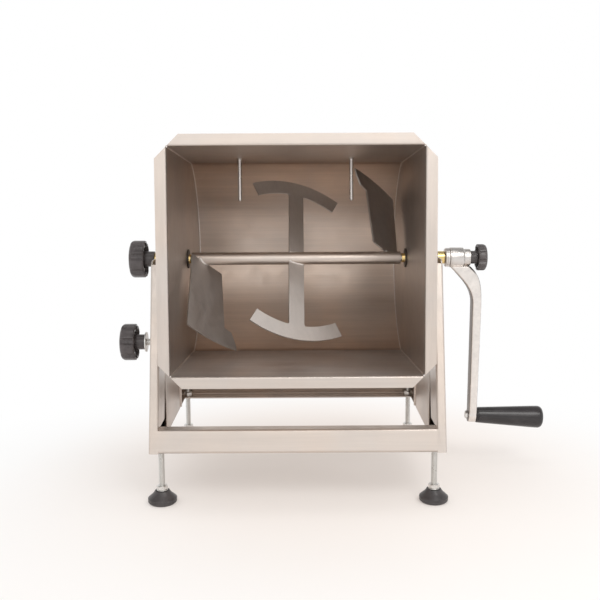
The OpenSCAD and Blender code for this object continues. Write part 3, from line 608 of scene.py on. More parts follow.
def make_foot_nuts():
    low, high = box_of("foot_nuts")
    flat_first = Matrix.Rotation(TURN / 12, 4, "Z")
    nuts = []
    for c in CORNERS:
        place = Matrix.Translation(foot_axis(c) + Vector((0, 0, low.z))) @ flat_first
        nuts.append((hex_nut(FOOT_HEX, high.z - low.z, FOOT_D + 2 * TINY_GAP), place))
    piece("foot_weld_nuts", together(*nuts), ZINC, "frame", ["foot_nuts"])


def on_shaft(x=0.0, drop=0.0):
    """Frame on the shaft's axis with its local Z towards the crank."""
    return placed(SHAFT + Vector((x, 0, -drop)), (1, 0, 0))


SLEEVE_D = 18 * MM
NOSE_D = 13 * MM
SHAFT_D = 10 * MM
SLEEVE_HEX = 24 * MM
SLEEVE_NUT_H = 5 * MM
SPINDLE_TIP_D = 8 * MM
FRAME_SHEET = 1.5 * MM
LOCK_DROP = 120 * MM
LOCK_D = 10 * MM
LOCK_PITCH = 1.5 * MM
LOCK_TIP = 14 * MM
LOCK_BOSS_D = 24 * MM
LOCK_WASHER_D = 29 * MM
M6_D = 6 * MM
M6_PITCH = 1 * MM
WALL_X = box_of("tank_wrap")[1].x - SHAFT.x
FRAME_X = box_of("side_frame_right")[1].x - SHAFT.x


def make_sleeves():
    bore = SHAFT_D / 2 + TINY_GAP
    for side, wall in (("left", -WALL_X), ("right", WALL_X)):
        inner, outer = sorted(span_x("sleeve_" + side), key=abs)
        loop = [(outer, bore), (outer, SLEEVE_D / 2), (wall, SLEEVE_D / 2), (wall, NOSE_D / 2),
                (inner, NOSE_D / 2), (inner, bore)]
        piece("bush_" + side, lathe(rounded(loop, 0.7 * MM, closed=True), bored=True), BRASS, "frame",
              ["sleeve_" + side], on_shaft())


def make_sleeve_nuts():
    low, high = span_x("sleeve_nuts")
    inside = FRAME_X - FRAME_SHEET
    starts = (low, -inside, inside - SLEEVE_NUT_H, high - SLEEVE_NUT_H)
    nuts = together(*[(hex_nut(SLEEVE_HEX, SLEEVE_NUT_H, SLEEVE_D - 0.2 * MM), on_shaft(x)) for x in starts])
    piece("bush_nuts", nuts, ZINC, "frame", ["sleeve_nuts"])


def make_lock():
    place = on_shaft(0, LOCK_DROP)
    hole = LOCK_D + 2 * TINY_GAP
    x0, x1 = span_x("lock_boss")
    boss = together(ring(x0 + TINY_GAP, x1, LOCK_BOSS_D, hole, 0.8 * MM),
                    ring_bead(LOCK_BOSS_D / 2 + 0.3 * MM, x1 - 0.5 * MM, 1.3 * MM, 144))
    piece("lock_socket", boss, STEEL_Y, "frame", ["lock_boss"], place)
    x0, x1 = span_x("lock_stud")
    tip = x1 - LOCK_TIP
    tip_r, end_r = LOCK_D * 0.42, LOCK_D * 0.3
    point = [(tip - MM, 0), (tip - MM, tip_r), (x1 - 2 * MM, tip_r), (x1, end_r), (x1, 0)]
    stud = together(threaded(x0, tip, LOCK_D, LOCK_PITCH), lathe(rounded(point, 0.5 * MM)))
    piece("lock_screw", stud, ZINC, "lock_knob", ["lock_stud"], place)
    x0, x1 = span_x("lock_washer")
    piece("lock_plain_washer", ring(x0, x1, LOCK_WASHER_D, hole, 0.5 * MM), ZINC, "lock_knob",
          ["lock_washer"], place)


def make_pivot_spindle():
    x0, x1 = span_x("pivot_spindle")
    tip = span_x("sleeve_left")[1]
    spindle = together(threaded(x0, tip - 2 * MM, SHAFT_D, LOCK_PITCH),
                       turned(tip - 3 * MM, x1, SPINDLE_TIP_D, 0.8 * MM))
    piece("pivot_screw", spindle, ZINC, "pivot_knob", ["pivot_spindle"], on_shaft())
    x0, x1 = span_x("crank_knob_stud")
    piece("crank_knob_screw", threaded(x0, x1, M6_D, M6_PITCH), ZINC, "crank_knob",
          ["crank_knob_stud"], on_shaft())


# Star knobs

LOBES = 7
GROOVE_SHARE = 0.105
GROOVE_OUT_SHARE = 0.35
RIM_SHARE = 0.06
KNOB_SEGMENTS = 196
GROOVE_SOFT = 0.35 * MM
HOLLOW_SHARE = 0.46
# The head's diameter and height, then the neck's
LEFT_KNOB = (52.5 * MM, 21.5 * MM, 22 * MM, 12.6 * MM)
CRANK_KNOB = (37.4 * MM, 12.8 * MM, 18.5 * MM, 9.8 * MM)


def soft_min(a, b, k):
    low, high = min(a, b), max(a, b)
    return low - k * math.log1p(math.exp(-(high - low) / k))


def groove_limit(d, angle):
    """Distance from the knob's axis at which the nearest groove's wall lies."""
    groove = d * GROOVE_SHARE
    centre = d / 2 + groove * GROOVE_OUT_SHARE
    off = (angle / TURN * LOBES) % 1 - 0.5
    phi = off * TURN / LOBES
    s = centre * abs(math.sin(phi))
    if s < groove:
        return centre * math.cos(phi) - math.sqrt(groove ** 2 - s ** 2)
    return centre * math.cos(phi) + (s - groove) * 3


def star_knob(name, d, h, neck_d, neck_h, place):
    """Moulded knob, its neck's end at the frame's origin and its head outward. Each ring of the
    outline is (z, r, how far inside the grooves it runs)."""
    rim = d * RIM_SHARE
    wall = rim * 1.05
    half, neck_r = d / 2, neck_d / 2
    core = half - wall
    top = neck_h + h
    floor = neck_h + h * HOLLOW_SHARE
    rings = [
        (top - 0.9 * MM, 0, 0), (top - 0.9 * MM, d * 0.13, 0), (top - 0.75 * MM, d * 0.142, 0),
        (top - 0.15 * MM, d * 0.15, 0), (top, d * 0.165, 0), (top, d * 0.24, 0),
        (top - 0.03 * rim, d * 0.30, 0.2 * rim), (top - 0.10 * rim, half - 1.7 * rim, 0.25 * rim),
        (top - 0.30 * rim, half - 1.0 * rim, 0.2 * rim), (top - 0.62 * rim, half - 0.52 * rim, 0.1 * rim),
        (top - 1.05 * rim, half - 0.2 * rim, 0.03 * rim), (top - 1.6 * rim, half - 0.02 * rim, 0),
        (top - 2.4 * rim, half, 0), (neck_h + 1.6 * rim, half, 0), (neck_h + 0.5 * rim, half - 0.03 * rim, 0),
        (neck_h + 0.15 * rim, half - 0.17 * rim, 0.15 * rim), (neck_h, half - 0.45 * rim, 0.4 * rim),
        (neck_h, core + 0.2 * rim, wall - 0.2 * rim), (neck_h + 0.2 * rim, core, wall),
        (neck_h + h * 0.42, core - 0.2 * rim, wall + 0.2 * rim), (floor, core - 0.6 * rim, wall + 0.5 * rim),
        (floor, neck_r + 1.2 * MM, 0), (neck_h + h * 0.43, neck_r + 0.3 * MM, 0), (neck_h, neck_r, 0),
        (0.9 * MM, neck_r - 0.1 * MM, 0), (0.25 * MM, neck_r - 0.35 * MM, 0), (0, neck_r - 1.0 * MM, 0),
        (0, 0, 0)]

    def wave(k, r, angle):
        return soft_min(r, groove_limit(d, angle) - rings[k][2], GROOVE_SOFT)

    bm = lathe([(z, r) for z, r, _ in rings], KNOB_SEGMENTS, wave=wave)
    piece(name, bm, KNOB, name, [name + "_head"], place, 50)


def make_knobs():
    knobs = (("pivot_knob", -1, 0, LEFT_KNOB), ("lock_knob", -1, LOCK_DROP, LEFT_KNOB),
             ("crank_knob", 1, 0, CRANK_KNOB))
    for name, side, drop, size in knobs:
        neck_end = min(span_x(name + "_head"), key=abs)
        star_knob(name, *size, placed(SHAFT + Vector((neck_end, 0, -drop)), (side, 0, 0)))


# Crank

CRANK_R = 231.5 * MM
HUB_D = 28.4 * MM
HUB_END_D = 24 * MM
HUB_LEN = 20 * MM
HUB_END_LEN = 9.2 * MM
ARM_W = 20 * MM
ARM_TOP_T = 12.7 * MM
ARM_END_T = 11 * MM
ARM_KNEE_OUT = 2.6 * MM
ARM_BEND_DROP = 66 * MM
BOSS_D = 21 * MM
BOSS_PROUD = 0.6 * MM
GRIP_DROOP = math.radians(2.3)
GRIP_LEN = 96.5 * MM
GRIP_NECK_R = 11.2 * MM
GRIP_END_R = 16 * MM
GRIP_NOSE = 6.5 * MM
GRIP_GAP = 0.3 * MM
GRIP_BORE_R = 4.05 * MM
GRIP_RECESS_R = 7.25 * MM
GRIP_SINK = 11 * MM
GRIP_BOLT_D = 8 * MM
SOCKET_R = 2.9 * MM
GRIP_NUT_AF = 10 * MM
GRIP_NUT_H = 3.7 * MM
HUB_X0 = span_x("crank_arm")[0]
HUB_X1 = HUB_X0 + HUB_LEN
HUB_X2 = HUB_X1 + HUB_END_LEN
ARM_OUT_X = HUB_X2 + 14 * MM
ARM_CORNER = 1.8 * MM
ARM_RIDGE = 3.4 * MM
ARM_EDGE = 0.6 * MM
# Control points of the arm's two sides, as shares of the way out and of the way down to the knee
ARM_IN_PULL = ((0.58, 0.48), (1, 0.68))
ARM_OUT_PULL = ((0.83, 0.38), (1, 0.53))
ARM_CURVE_STEPS = 36
ARM_STRAIGHT_STEPS = 12
COLLAR_D = 27 * MM
CAST_VOXEL = 0.7 * MM


def bezier(a, b, c, d, t):
    return a * (1 - t) ** 3 + b * 3 * t * (1 - t) ** 2 + c * 3 * t * t * (1 - t) + d * t ** 3


def arm_section(inner, outer, ridge):
    """Ring of points round the arm between its two sides in (x, z). Ridge: the bevel's width on the
    front edge of the outer side."""
    across = outer - inner
    t = across.length
    w = ARM_W / 2
    corners = [(0, w), (0, -w), (t - ridge * 0.85, -w), (t, -w + ridge), (t, w)]
    loop = rounded(corners, ARM_CORNER, steps=4, closed=True)
    e = across.normalized()
    return [Vector((inner.x + e.x * u, v, inner.y + e.y * u)) for u, v in loop]


def arm_loft():
    """The arm, curved from the hub to its knee and straight from there to the grip."""
    drop = Vector((0, -ARM_BEND_DROP))
    hub_low = Vector((0, 2 * MM - HUB_D / 2))
    in_hub = Vector((HUB_X0 + 0.3 * MM, 0))
    out_hub = Vector((HUB_X2, 0))
    out_knee = Vector((ARM_OUT_X + ARM_KNEE_OUT, 0))
    in_knee = out_knee - Vector((ARM_TOP_T, 0))
    inner = [in_hub + (in_knee - in_hub) * a + drop * b for a, b in ARM_IN_PULL]
    outer = [out_hub + (out_knee - out_hub) * a + drop * b for a, b in ARM_OUT_PULL]
    pairs = []
    for k in range(ARM_CURVE_STEPS + 1):
        t = k / ARM_CURVE_STEPS
        a = bezier(in_hub + hub_low, *inner, in_knee + drop, t)
        b = bezier(out_hub + hub_low, *outer, out_knee + drop, t)
        pairs.append((a, b, ARM_RIDGE * (1 - t) ** 0.6 + ARM_EDGE))
    knee = pairs[-1]
    end_in = Vector((ARM_OUT_X - ARM_END_T, -CRANK_R))
    end_out = Vector((ARM_OUT_X, -CRANK_R))
    for k in range(ARM_STRAIGHT_STEPS):
        t = (k + 1) / ARM_STRAIGHT_STEPS
        pairs.append((knee[0].lerp(end_in, t), knee[1].lerp(end_out, t), ARM_EDGE))
    bm = bmesh.new()
    rings = [[bm.verts.new(p) for p in arm_section(a, b, ridge)] for a, b, ridge in pairs]
    for a, b in zip(rings, rings[1:]):
        ring_faces(bm, a, b)
    bm.faces.new(rings[0])
    bm.faces.new(rings[-1])
    return bm


def grip_frame():
    axis = Vector((math.cos(GRIP_DROOP), 0, -math.sin(GRIP_DROOP)))
    return placed(SHAFT + Vector((ARM_OUT_X, 0, -CRANK_R)), axis)


def fused(bm, voxel, smoothing):
    """Blends overlapping closed solids into one skin, as in a casting."""
    mesh = bpy.data.meshes.new("fused")
    bm.to_mesh(mesh)
    bm.free()
    obj = linked("fused", mesh)
    remesh = obj.modifiers.new("remesh", "REMESH")
    remesh.mode = "VOXEL"
    remesh.voxel_size = voxel
    smooth = obj.modifiers.new("smooth", "SMOOTH")
    smooth.factor = 0.5
    smooth.iterations = smoothing
    skin = evaluated(obj)
    out = bmesh.new()
    out.from_mesh(skin)
    bpy.data.objects.remove(obj)
    bpy.data.meshes.remove(mesh)
    bpy.data.meshes.remove(skin)
    return out


def make_crank():
    """The crank's casting, the turned skin of its hub and the thrust collar."""
    inset = 1.0 * MM
    core = together(
        (arm_loft(), Matrix.Translation(SHAFT)),
        (turned(HUB_X0 + MM, HUB_X1 - 0.5 * MM, HUB_D - 2 * inset, 0.8 * MM), on_shaft()),
        (turned(HUB_X1 - 2 * MM, HUB_X2 - 3 * MM, HUB_END_D - 2 * inset, 0.8 * MM), on_shaft()),
        (turned(-ARM_END_T - BOSS_PROUD, 0, BOSS_D, 1.2 * MM), grip_frame()))
    # Arm faces that look along X take the darker side finish: painted shade
    piece("crank_casting", fused(core, CAST_VOXEL, 6), CAST, "agitator", ["crank_arm"], sharp=60,
          side=CAST_SIDE_PAINTED_SHADE)
    r, e, bore = HUB_D / 2, HUB_END_D / 2, SHAFT_D / 2 + TINY_GAP
    loop = [
        (HUB_X0, bore), *off(HUB_X0, r, (0, -0.7), (0.7, 0), (2.0, 0), (2.2, -0.35), (2.8, -0.35), (3.0, 0)),
        *off(HUB_X1, r, (-1.9, 0), (-0.6, -0.5), (0, -1.3)), *off(HUB_X1, e, (0, 0.2), (0.4, -0.1), (1.4, 0)),
        *off(HUB_X2, e, (-2.6, 0), (-2.4, -0.35), (-1.9, -0.35), (-1.7, 0), (-0.6, 0), (0, -0.6)),
        (HUB_X2, bore)]
    piece("crank_hub_skin", lathe(loop, FINE_ROUND, bored=True), TURNED, "agitator",
          place=on_shaft())
    x0, x1 = span_x("thrust_collar")
    c = COLLAR_D / 2
    loop = [(x0, bore), *off(x0, c, (0, -1.1), (1.1, 0), (2.6, 0), (2.9, -0.4), (3.3, -0.4), (3.6, 0)),
            *off(x1, c, (-0.8, 0), (-0.1, -0.7)), (x1 - 0.1 * MM, bore)]
    piece("thrust_ring", lathe(loop, FINE_ROUND, bored=True), TURNED, "agitator",
          ["thrust_collar"], on_shaft())


def make_grip():
    """The grip, its shoulder bolt with a sunk socket head, and the bolt's nut behind the arm."""
    end = GRIP_LEN
    seat = end - GRIP_SINK
    slope = (GRIP_END_R - GRIP_NECK_R) / (end - 10 * MM)

    def skin(x):
        return GRIP_NECK_R + slope * (x - GRIP_GAP)

    loop = [(GRIP_GAP, GRIP_BORE_R), *off(GRIP_GAP, GRIP_NECK_R, (0, -0.7), (0.5, -0.1))]
    for x, sunk in ((2.2, 0), (2.6, 0.45), (3.1, 0.45), (3.5, 0)):
        loop.append((x * MM, skin(x * MM) - sunk * MM))
    loop += [(x * MM, skin(x * MM)) for x in (12, 24, 36, 48, 60, 72, 80)]
    for degrees in (0, 15, 30, 45, 60, 72, 82, 90):
        a = math.radians(degrees)
        loop.append((end - GRIP_NOSE * (1 - math.sin(a)), GRIP_END_R - GRIP_NOSE * 0.82 * (1 - math.cos(a))))
    loop += [*off(end, GRIP_RECESS_R, (-0.1, 0.5), (-0.6, 0)), (seat, GRIP_RECESS_R), (seat, GRIP_BORE_R)]
    piece("crank_handle", lathe(loop, FINE_ROUND, bored=True), GRIP, "grip", ["crank_grip"],
          grip_frame())
    head = seat + GRIP_GAP
    nut_low = -ARM_END_T - BOSS_PROUD - GRIP_NUT_H
    # Outline of the bolt's head, hexagonal from the rim of its socket on
    outline = [*off(head, 0, (0, 0), (0, 5.9), (0.6, 6.5), (5.6, 6.5), (6.8, 5.6), (7, 5.0)),
               *off(head, SOCKET_R, (7, 0.3), (6.7, 0), (3.4, 0)), (head + 3.2 * MM, 0)]
    bolt = together(
        threaded(nut_low, GRIP_GAP, M6_D, M6_PITCH),
        turned(0, head + MM, GRIP_BOLT_D, 0.3 * MM),
        lathe(outline, 48, wave=lambda k, r, a: r if k < 6 else hexagonal(r, a)))
    piece("grip_bolt", bolt, ZINC, "agitator", ["grip_spindle"], grip_frame())
    nut = hex_nut(GRIP_NUT_AF, GRIP_NUT_H, M6_D, 0.4 * MM)
    nut.transform(Matrix.Translation((0, 0, nut_low)))
    piece("grip_nut", nut, ZINC, "agitator", ["spindle_nut"], grip_frame())


# Sheet-metal shells: welded, ground and soft at their edges

MOUTH_H = 278 * MM
MOUTH_REACH = 185 * MM
BOWL_R = 148 * MM
TANK_SHEET = 1.2 * MM
BOWL_FACING = 0.985
BEND_R = 1.1 * MM
FLAT_WITHIN = math.radians(0.4)
EDGE_ANGLE = math.radians(40)
FRAME_CORNER = 3 * MM
STIFFENER_DROP = 150 * MM
STIFFENER_IN = 12 * MM
STIFFENER_T = 2 * MM
STIFFENER_LIP = 2.6 * MM
STIFFENER_Y = (-58 * MM, 72 * MM)


def flattened(mesh):
    """A bmesh of a CAD mesh with its flat faces made whole and doubled points merged."""
    bare = bpy.data.meshes.new("bare")
    bare.from_pydata([v.co for v in mesh.vertices], [], [tuple(p.vertices) for p in mesh.polygons])
    bm = bmesh.new()
    bm.from_mesh(bare)
    bpy.data.meshes.remove(bare)
    bmesh.ops.remove_doubles(bm, verts=bm.verts, dist=MERGE_WITHIN)
    bmesh.ops.dissolve_limit(bm, angle_limit=FLAT_WITHIN, verts=bm.verts, edges=bm.edges, delimit=set())
    return bm


def soften(bm, width, segments=2, where=None):
    """Rounds the outward edges, or those of them whose two ends lie where it says."""
    bm.normal_update()
    edges = [e for e in bm.edges if len(e.link_faces) == 2 and e.is_convex
             and e.calc_face_angle(0) > EDGE_ANGLE and (not where or all(where(v.co) for v in e.verts))]
    bmesh.ops.bevel(bm, geom=edges, offset=width, offset_type="OFFSET", segments=segments, profile=0.5,
                    affect="EDGES", clamp_overlap=True)


def cut_along(bm, faces, point, normal):
    """Cuts some faces along a plane, leaving the shape as it is."""
    geom = set(faces)
    for f in faces:
        geom.update(f.edges)
        geom.update(f.verts)
    bmesh.ops.bisect_plane(bm, geom=list(geom), plane_co=point, plane_no=normal)


def welded_shell(nodes):
    """Union of CAD nodes that are welded together, as one bmesh with no seam between flush faces."""
    temps = []
    for n in nodes:
        bm = flattened(NODES[n].data)
        mesh = bpy.data.meshes.new("temp")
        bm.to_mesh(mesh)
        bm.free()
        temps.append(linked("temp", mesh))
    for other in temps[1:]:
        union = temps[0].modifiers.new("union", "BOOLEAN")
        union.operation = "UNION"
        union.solver = "EXACT"
        union.object = other
    whole = evaluated(temps[0])
    bm = flattened(whole)
    for obj in temps:
        bpy.data.objects.remove(obj)
    return bm


def make_frame_shell():
    """Rails and side frames as one weldment, with rounded lower corners. Its upright faces over the
    rails are tagged for the steel that is brushed upward."""
    nodes = ["front_rail", "rear_rail", "side_frame_left", "side_frame_right"]
    bm = welded_shell(nodes)
    bottom = box_of("side_frame_left")[0].z
    for v in bm.verts:
        dx = abs(v.co.x - SHAFT.x) - (FRAME_X - FRAME_CORNER)
        dz = bottom + FRAME_CORNER - v.co.z
        if dx > 0 and dz > 0 and math.hypot(dx, dz) > FRAME_CORNER:
            k = FRAME_CORNER / math.hypot(dx, dz)
            v.co.x = SHAFT.x + math.copysign(FRAME_X - FRAME_CORNER + dx * k, v.co.x - SHAFT.x)
            v.co.z = bottom + FRAME_CORNER - dz * k
    bm.normal_update()
    top_of_rail = box_of("front_rail")[1].z
    faces = [f for f in bm.faces if abs(f.normal.y) > 0.5]
    cut_along(bm, faces, Vector((0, 0, top_of_rail)), Vector((0, 0, 1)))
    bm.normal_update()
    for f in bm.faces:
        if abs(f.normal.y) > 0.5 and f.calc_center_median().z > top_of_rail:
            f.material_index = UP_INDEX
    front = min(v.co.y for v in bm.verts if abs(v.co.z - top_of_rail) < TINY_GAP)
    soften(bm, BEND_R, 4, lambda p: abs(p.z - top_of_rail) < TINY_GAP and p.y < front + TINY_GAP)
    soften(bm, 0.5 * MM, 3)
    # Faces looking along X take the darker steel: painted shade
    piece("frame_welded", bm, STEEL_X, "frame", nodes, side=STEEL_Z_PAINTED_SHADE, more=[STEEL_UP], flat=True)


def make_stiffeners():
    """Upright plates that stand on the sills of the side frames, a little off their sheets."""
    low = box_of("side_frame_left")[0].z + FRAME_SHEET
    high = SHAFT.z - STIFFENER_DROP
    inner = FRAME_X - STIFFENER_IN
    outer, lip = inner + STIFFENER_T, inner - STIFFENER_LIP
    front, back = STIFFENER_Y
    outline = rounded([(inner, front), (outer, front), (outer, back), (lip, back), (lip, back - STIFFENER_T),
                       (inner, back - STIFFENER_T)], 0.8 * MM, closed=True)
    plates = []
    for side in (-1, 1):
        bm = bmesh.new()
        rings = [[bm.verts.new((SHAFT.x + side * x, SHAFT.y + y, z)) for x, y in outline]
                 for z in (low, high)]
        ring_faces(bm, *rings)
        for r in rings:
            bm.faces.new(r)
        plates.append(bm)
    # Faces looking along X take the darker steel: painted shade
    piece("side_stiffeners", together(*plates), STEEL_UP, "frame", side=STEEL_Z_PAINTED_SHADE)


def make_tank_shell():
    """Wrap and end walls as one weldment. Its lips beside the mouth, its back and its floor are
    tagged for their own steels: the back's warmer one is a painted reflection, the floor's paler
    one painted light, and the darker steel on its faces that look along X painted shade."""
    nodes = ["tank_wrap", "tank_end_left", "tank_end_right"]
    bm = welded_shell(nodes)
    bm.transform(TANK.inverted())
    half_h = MOUTH_H / 2
    corner_x, corner_z = WALL_X + TANK_SHEET, half_h + TANK_SHEET
    for sx in (-1, 1):
        for sz in (-1, 1):
            bm.normal_update()
            lip = [f for f in bm.faces if abs(f.normal.y) > 0.9
                   and f.calc_center_median().y < 2 * MM - MOUTH_REACH]
            cut_along(bm, lip, Vector((sx * corner_x, 0, sz * corner_z)), Vector((sx, 0, -sz)).normalized())
    bm.normal_update()
    for f in bm.faces:
        c = f.calc_center_median()
        in_lip = abs(f.normal.y) > 0.5 and c.y < 3 * MM - MOUTH_REACH
        if in_lip and abs(c.x) > corner_x and abs(c.z) < corner_z + 8 * MM:
            f.material_index = UP_INDEX
        # Back: the warmer painted-reflection steel; floor: the paler painted-light steel
        elif c.y > 0 and c.yz.length < BOWL_R + TANK_SHEET / 2 and abs(f.normal.z) < BOWL_FACING:
            f.material_index = BOWL_INDEX
        elif f.normal.z > BOWL_FACING and abs(c.z + half_h) < TINY_GAP and abs(c.x) < WALL_X:
            f.material_index = BOTTOM_INDEX
    soften(bm, BEND_R, 4, lambda p: abs(p.y + MOUTH_REACH) < TINY_GAP and abs(p.x) < WALL_X + TINY_GAP
           and abs(p.z) < half_h + TINY_GAP)
    bm.transform(TANK)
    soften(bm, 0.35 * MM)
    piece("tank_welded", bm, STEEL_X, "tank", nodes, side=STEEL_Z_PAINTED_SHADE,
          more=[STEEL_UP, STEEL_BOWL_PAINTED_REFLECTION, STEEL_BOTTOM_PAINTED_LIGHT], flat=True)


# Tank fittings and weld seams

SEAM_R = 0.95 * MM
SEAM_STEPS = 60
HUB_RING_D = 34 * MM
HUB_RING_T = 8 * MM
SEAL_T = 2 * MM
SEAL_R = 13.5 * MM
SEAL_BORE_R = 6.55 * MM
PIN_LEN = 59 * MM
PIN_R = 2.5 * MM
PIN_X = (-78.6 * MM, 76.3 * MM)
PIN_Y = -20 * MM


def make_wall_seams():
    """Ground weld lines in the corners between the wrap and the end walls."""
    inset = 0.45 * MM
    h, r = MOUTH_H / 2 - inset, BOWL_R - inset
    turn_y = math.sqrt(r * r - h * h)
    spread = math.atan2(h, turn_y)
    front = -MOUTH_REACH + 2.5 * MM
    arc = [spread * (1 - 2 * k / SEAM_STEPS) for k in range(1, SEAM_STEPS)]
    outline = [(front, h), (turn_y, h), *[(r * math.cos(a), r * math.sin(a)) for a in arc],
               (turn_y, -h), (front, -h)]
    seams = [sweep([Vector((x, y, z)) for y, z in outline], SEAM_R, 8)
             for x in (inset - WALL_X, WALL_X - inset)]
    piece("wall_seam_welds", together(*seams), WELD, "tank", (), TANK)


def make_tank_fittings():
    wall_out = WALL_X + TANK_SHEET
    seal_in = WALL_X - SEAL_T
    seal = [(seal_in, SEAL_BORE_R), (seal_in, SEAL_R), (WALL_X, SEAL_R), (WALL_X, SEAL_BORE_R)]
    rings, seals = [], []
    for turn in (math.pi, 0):
        place = Matrix.Rotation(turn, 4, "Z") @ Matrix.Rotation(math.pi / 2, 4, "Y")
        hub = ring(wall_out, wall_out + HUB_RING_T, HUB_RING_D, SLEEVE_D + 2 * TINY_GAP, 0.8 * MM)
        rings.append((hub, place))
        rings.append((ring_bead(HUB_RING_D / 2 + 0.3 * MM, wall_out + 0.5 * MM, 1.3 * MM, 180), place))
        seals.append((lathe(rounded(seal, 0.8 * MM, closed=True), bored=True), place))
    piece("hub_rings", together(*rings), STEEL_Y, "tank", ["tank_hub_rings"], TANK)
    piece("shaft_seals", together(*seals), SEAL, "tank", ["wall_seals"], TANK)
    top = MOUTH_H / 2
    tip = top - PIN_LEN
    # From the rounded tip up to the weld at the wall
    outline = rounded([(tip, 0), *off(tip, PIN_R, (0, -1.6), (1, -0.6), (2.6, 0)),
                       *off(top, PIN_R, (-2.6, 0), (-1.2, 0.6), (0, 2.1)), (top, 0)], 0.6 * MM)
    pins = together(*[(lathe(outline, 40), Matrix.Translation((x, PIN_Y, 0))) for x in PIN_X])
    piece("meat_pins", pins, TURNED, "tank", ["breaker_pins"], TANK)


# Agitator: tube, paddles and their welds

TUBE_D = 18 * MM
TUBE_WALL = 2 * MM
PADDLE_T = 2.5 * MM
STIR = math.radians(35)
END_LEAD = math.radians(4.7)
CENTRE_TURN = math.radians(24)
END_TURN = math.radians(49.6)
END_PADDLE_X = 130.2 * MM
STEM_W = 22.7 * MM
# How far the end paddles touch the tube on either side of their middle
END_SEAT = (9.9 * MM, 6.2 * MM)
SEAT_BEAD = 1.25 * MM


def across_shaft(x, angle, turn):
    """Frame of a paddle: local X along it, local Y outward from the shaft."""
    return (Matrix.Translation(SHAFT + Vector((x, 0, 0))) @ Matrix.Rotation(-angle, 4, "X")
            @ Matrix.Rotation(turn, 4, "Z") @ Matrix.Rotation(-math.pi / 2, 4, "X"))


def seat_beads(u0, u1, turn):
    """Weld beads on both faces of a paddle where it meets the tube, in the paddle's frame."""
    beads = []
    for side in (-1, 1):
        w = side * (PADDLE_T / 2 + 0.35 * MM)
        path = []
        for k in range(41):
            u = u0 + (u1 - u0) * k / 40
            lean = u * math.sin(turn) + w * math.cos(turn)
            v = math.sqrt(max((TUBE_D / 2) ** 2 - lean ** 2, 0))
            path.append(Vector((u, v + 0.2 * MM, w)))
        beads.append(bead(path, SEAT_BEAD))
    return beads


def make_agitator_welds():
    half = STEM_W / 2
    far, near = END_SEAT
    seats = [
        (TUBE_MID_X, STIR, CENTRE_TURN, -half, half),
        (TUBE_MID_X, STIR + math.pi, -CENTRE_TURN, -half, half),
        (TUBE_MID_X - END_PADDLE_X, STIR + END_LEAD, END_TURN, -far, near),
        (TUBE_MID_X + END_PADDLE_X, STIR + END_LEAD + math.pi, -END_TURN, -near, far)]
    parts = [(b, across_shaft(x, angle, turn)) for x, angle, turn, u0, u1 in seats
             for b in seat_beads(u0, u1, turn)]
    piece("paddle_welds", together(*parts), WELD, "agitator")


def make_tube():
    x0, x1 = span_x("agitator_tube")
    tube = ring(x0, x1, TUBE_D, TUBE_D - 2 * TUBE_WALL, 0.6 * MM, FINE_ROUND)
    piece("stirrer_tube", tube, STEEL_X, "agitator", ["agitator_tube"], on_shaft())


def make_paddle(node):
    """A paddle's plate with soft edges."""
    bm = flattened(NODES[node].data)
    soften(bm, 0.3 * MM)
    piece(node + "_plate", bm, PLATE, "agitator", [node], flat=True)


for c in CORNERS:
    make_foot(c)
make_foot_nuts()
make_sleeves()
make_sleeve_nuts()
make_lock()
make_pivot_spindle()
make_knobs()
make_crank()
make_grip()
make_frame_shell()
make_stiffeners()
make_tank_shell()
make_wall_seams()
make_tank_fittings()
make_agitator_welds()
make_tube()
for n in ("paddle_left", "paddle_right", "paddle_centre_up", "paddle_centre_down"):
    make_paddle(n)


# CAD nodes that keep their shape

FINISH = {
    STEEL_Y: ["tilt_stop", "index_plate"],
    ZINC: ["drive_shaft", "drive_pin"],
    BRASS: ["tube_plug"],
}


def dress(node, material):
    """Gives a CAD node its finish and soft edges."""
    obj = NODES[node]
    for s in obj.material_slots:
        s.material = material
    weld = obj.modifiers.new("weld", "WELD")
    weld.merge_threshold = MERGE_WITHIN
    whole = obj.modifiers.new("flat_faces", "DECIMATE")
    whole.decimate_type = "DISSOLVE"
    whole.angle_limit = FLAT_WITHIN
    bevel = obj.modifiers.new("edge", "BEVEL")
    bevel.width = 0.3 * MM
    bevel.segments = 2
    bevel.limit_method = "ANGLE"
    bevel.angle_limit = EDGE_ANGLE
    bevel.use_clamp_overlap = True
    even_normals(obj)


for material, names in FINISH.items():
    for n in names:
        dress(n, material)


# Floor, background and light

WHITE = (1.0, 1.0, 1.0)
# Colour of the floor's glow next to the machine: painted warm bounce light from the steel
WARM_PAINTED_BOUNCE = (1.0, 0.90, 0.83)
FLOOR_REACH = 6.0
# Share of the floor's glow next to the machine, and the point ahead of it from which the glow grows: painted
# light that lightens the shadow, most behind the machine
NEAR_WHITE = 0.35
WHITEST_FROM = Vector((0, -0.28, 0))
WORLD_LIGHT = 0.80
OVERHEAD = 0.40
FRONT = 0.85
LAMP_AIM = Vector((0, 0, 0.3))
# Each lamp's place, size, power and colour
LAMPS = {
    "front_softbox": ((-0.1, -2.2, 1.5), (2.4, 1.4), 10.8, (1, 0.98, 0.95)),
    "key_softbox": ((0.7, -1.2, 1.5), (0.8, 0.8), 8, (1, 0.99, 0.97)),
    "top_softbox": ((0, -0.35, 1.9), (1.2, 0.35), 2.5, (1, 0.99, 0.97)),
}


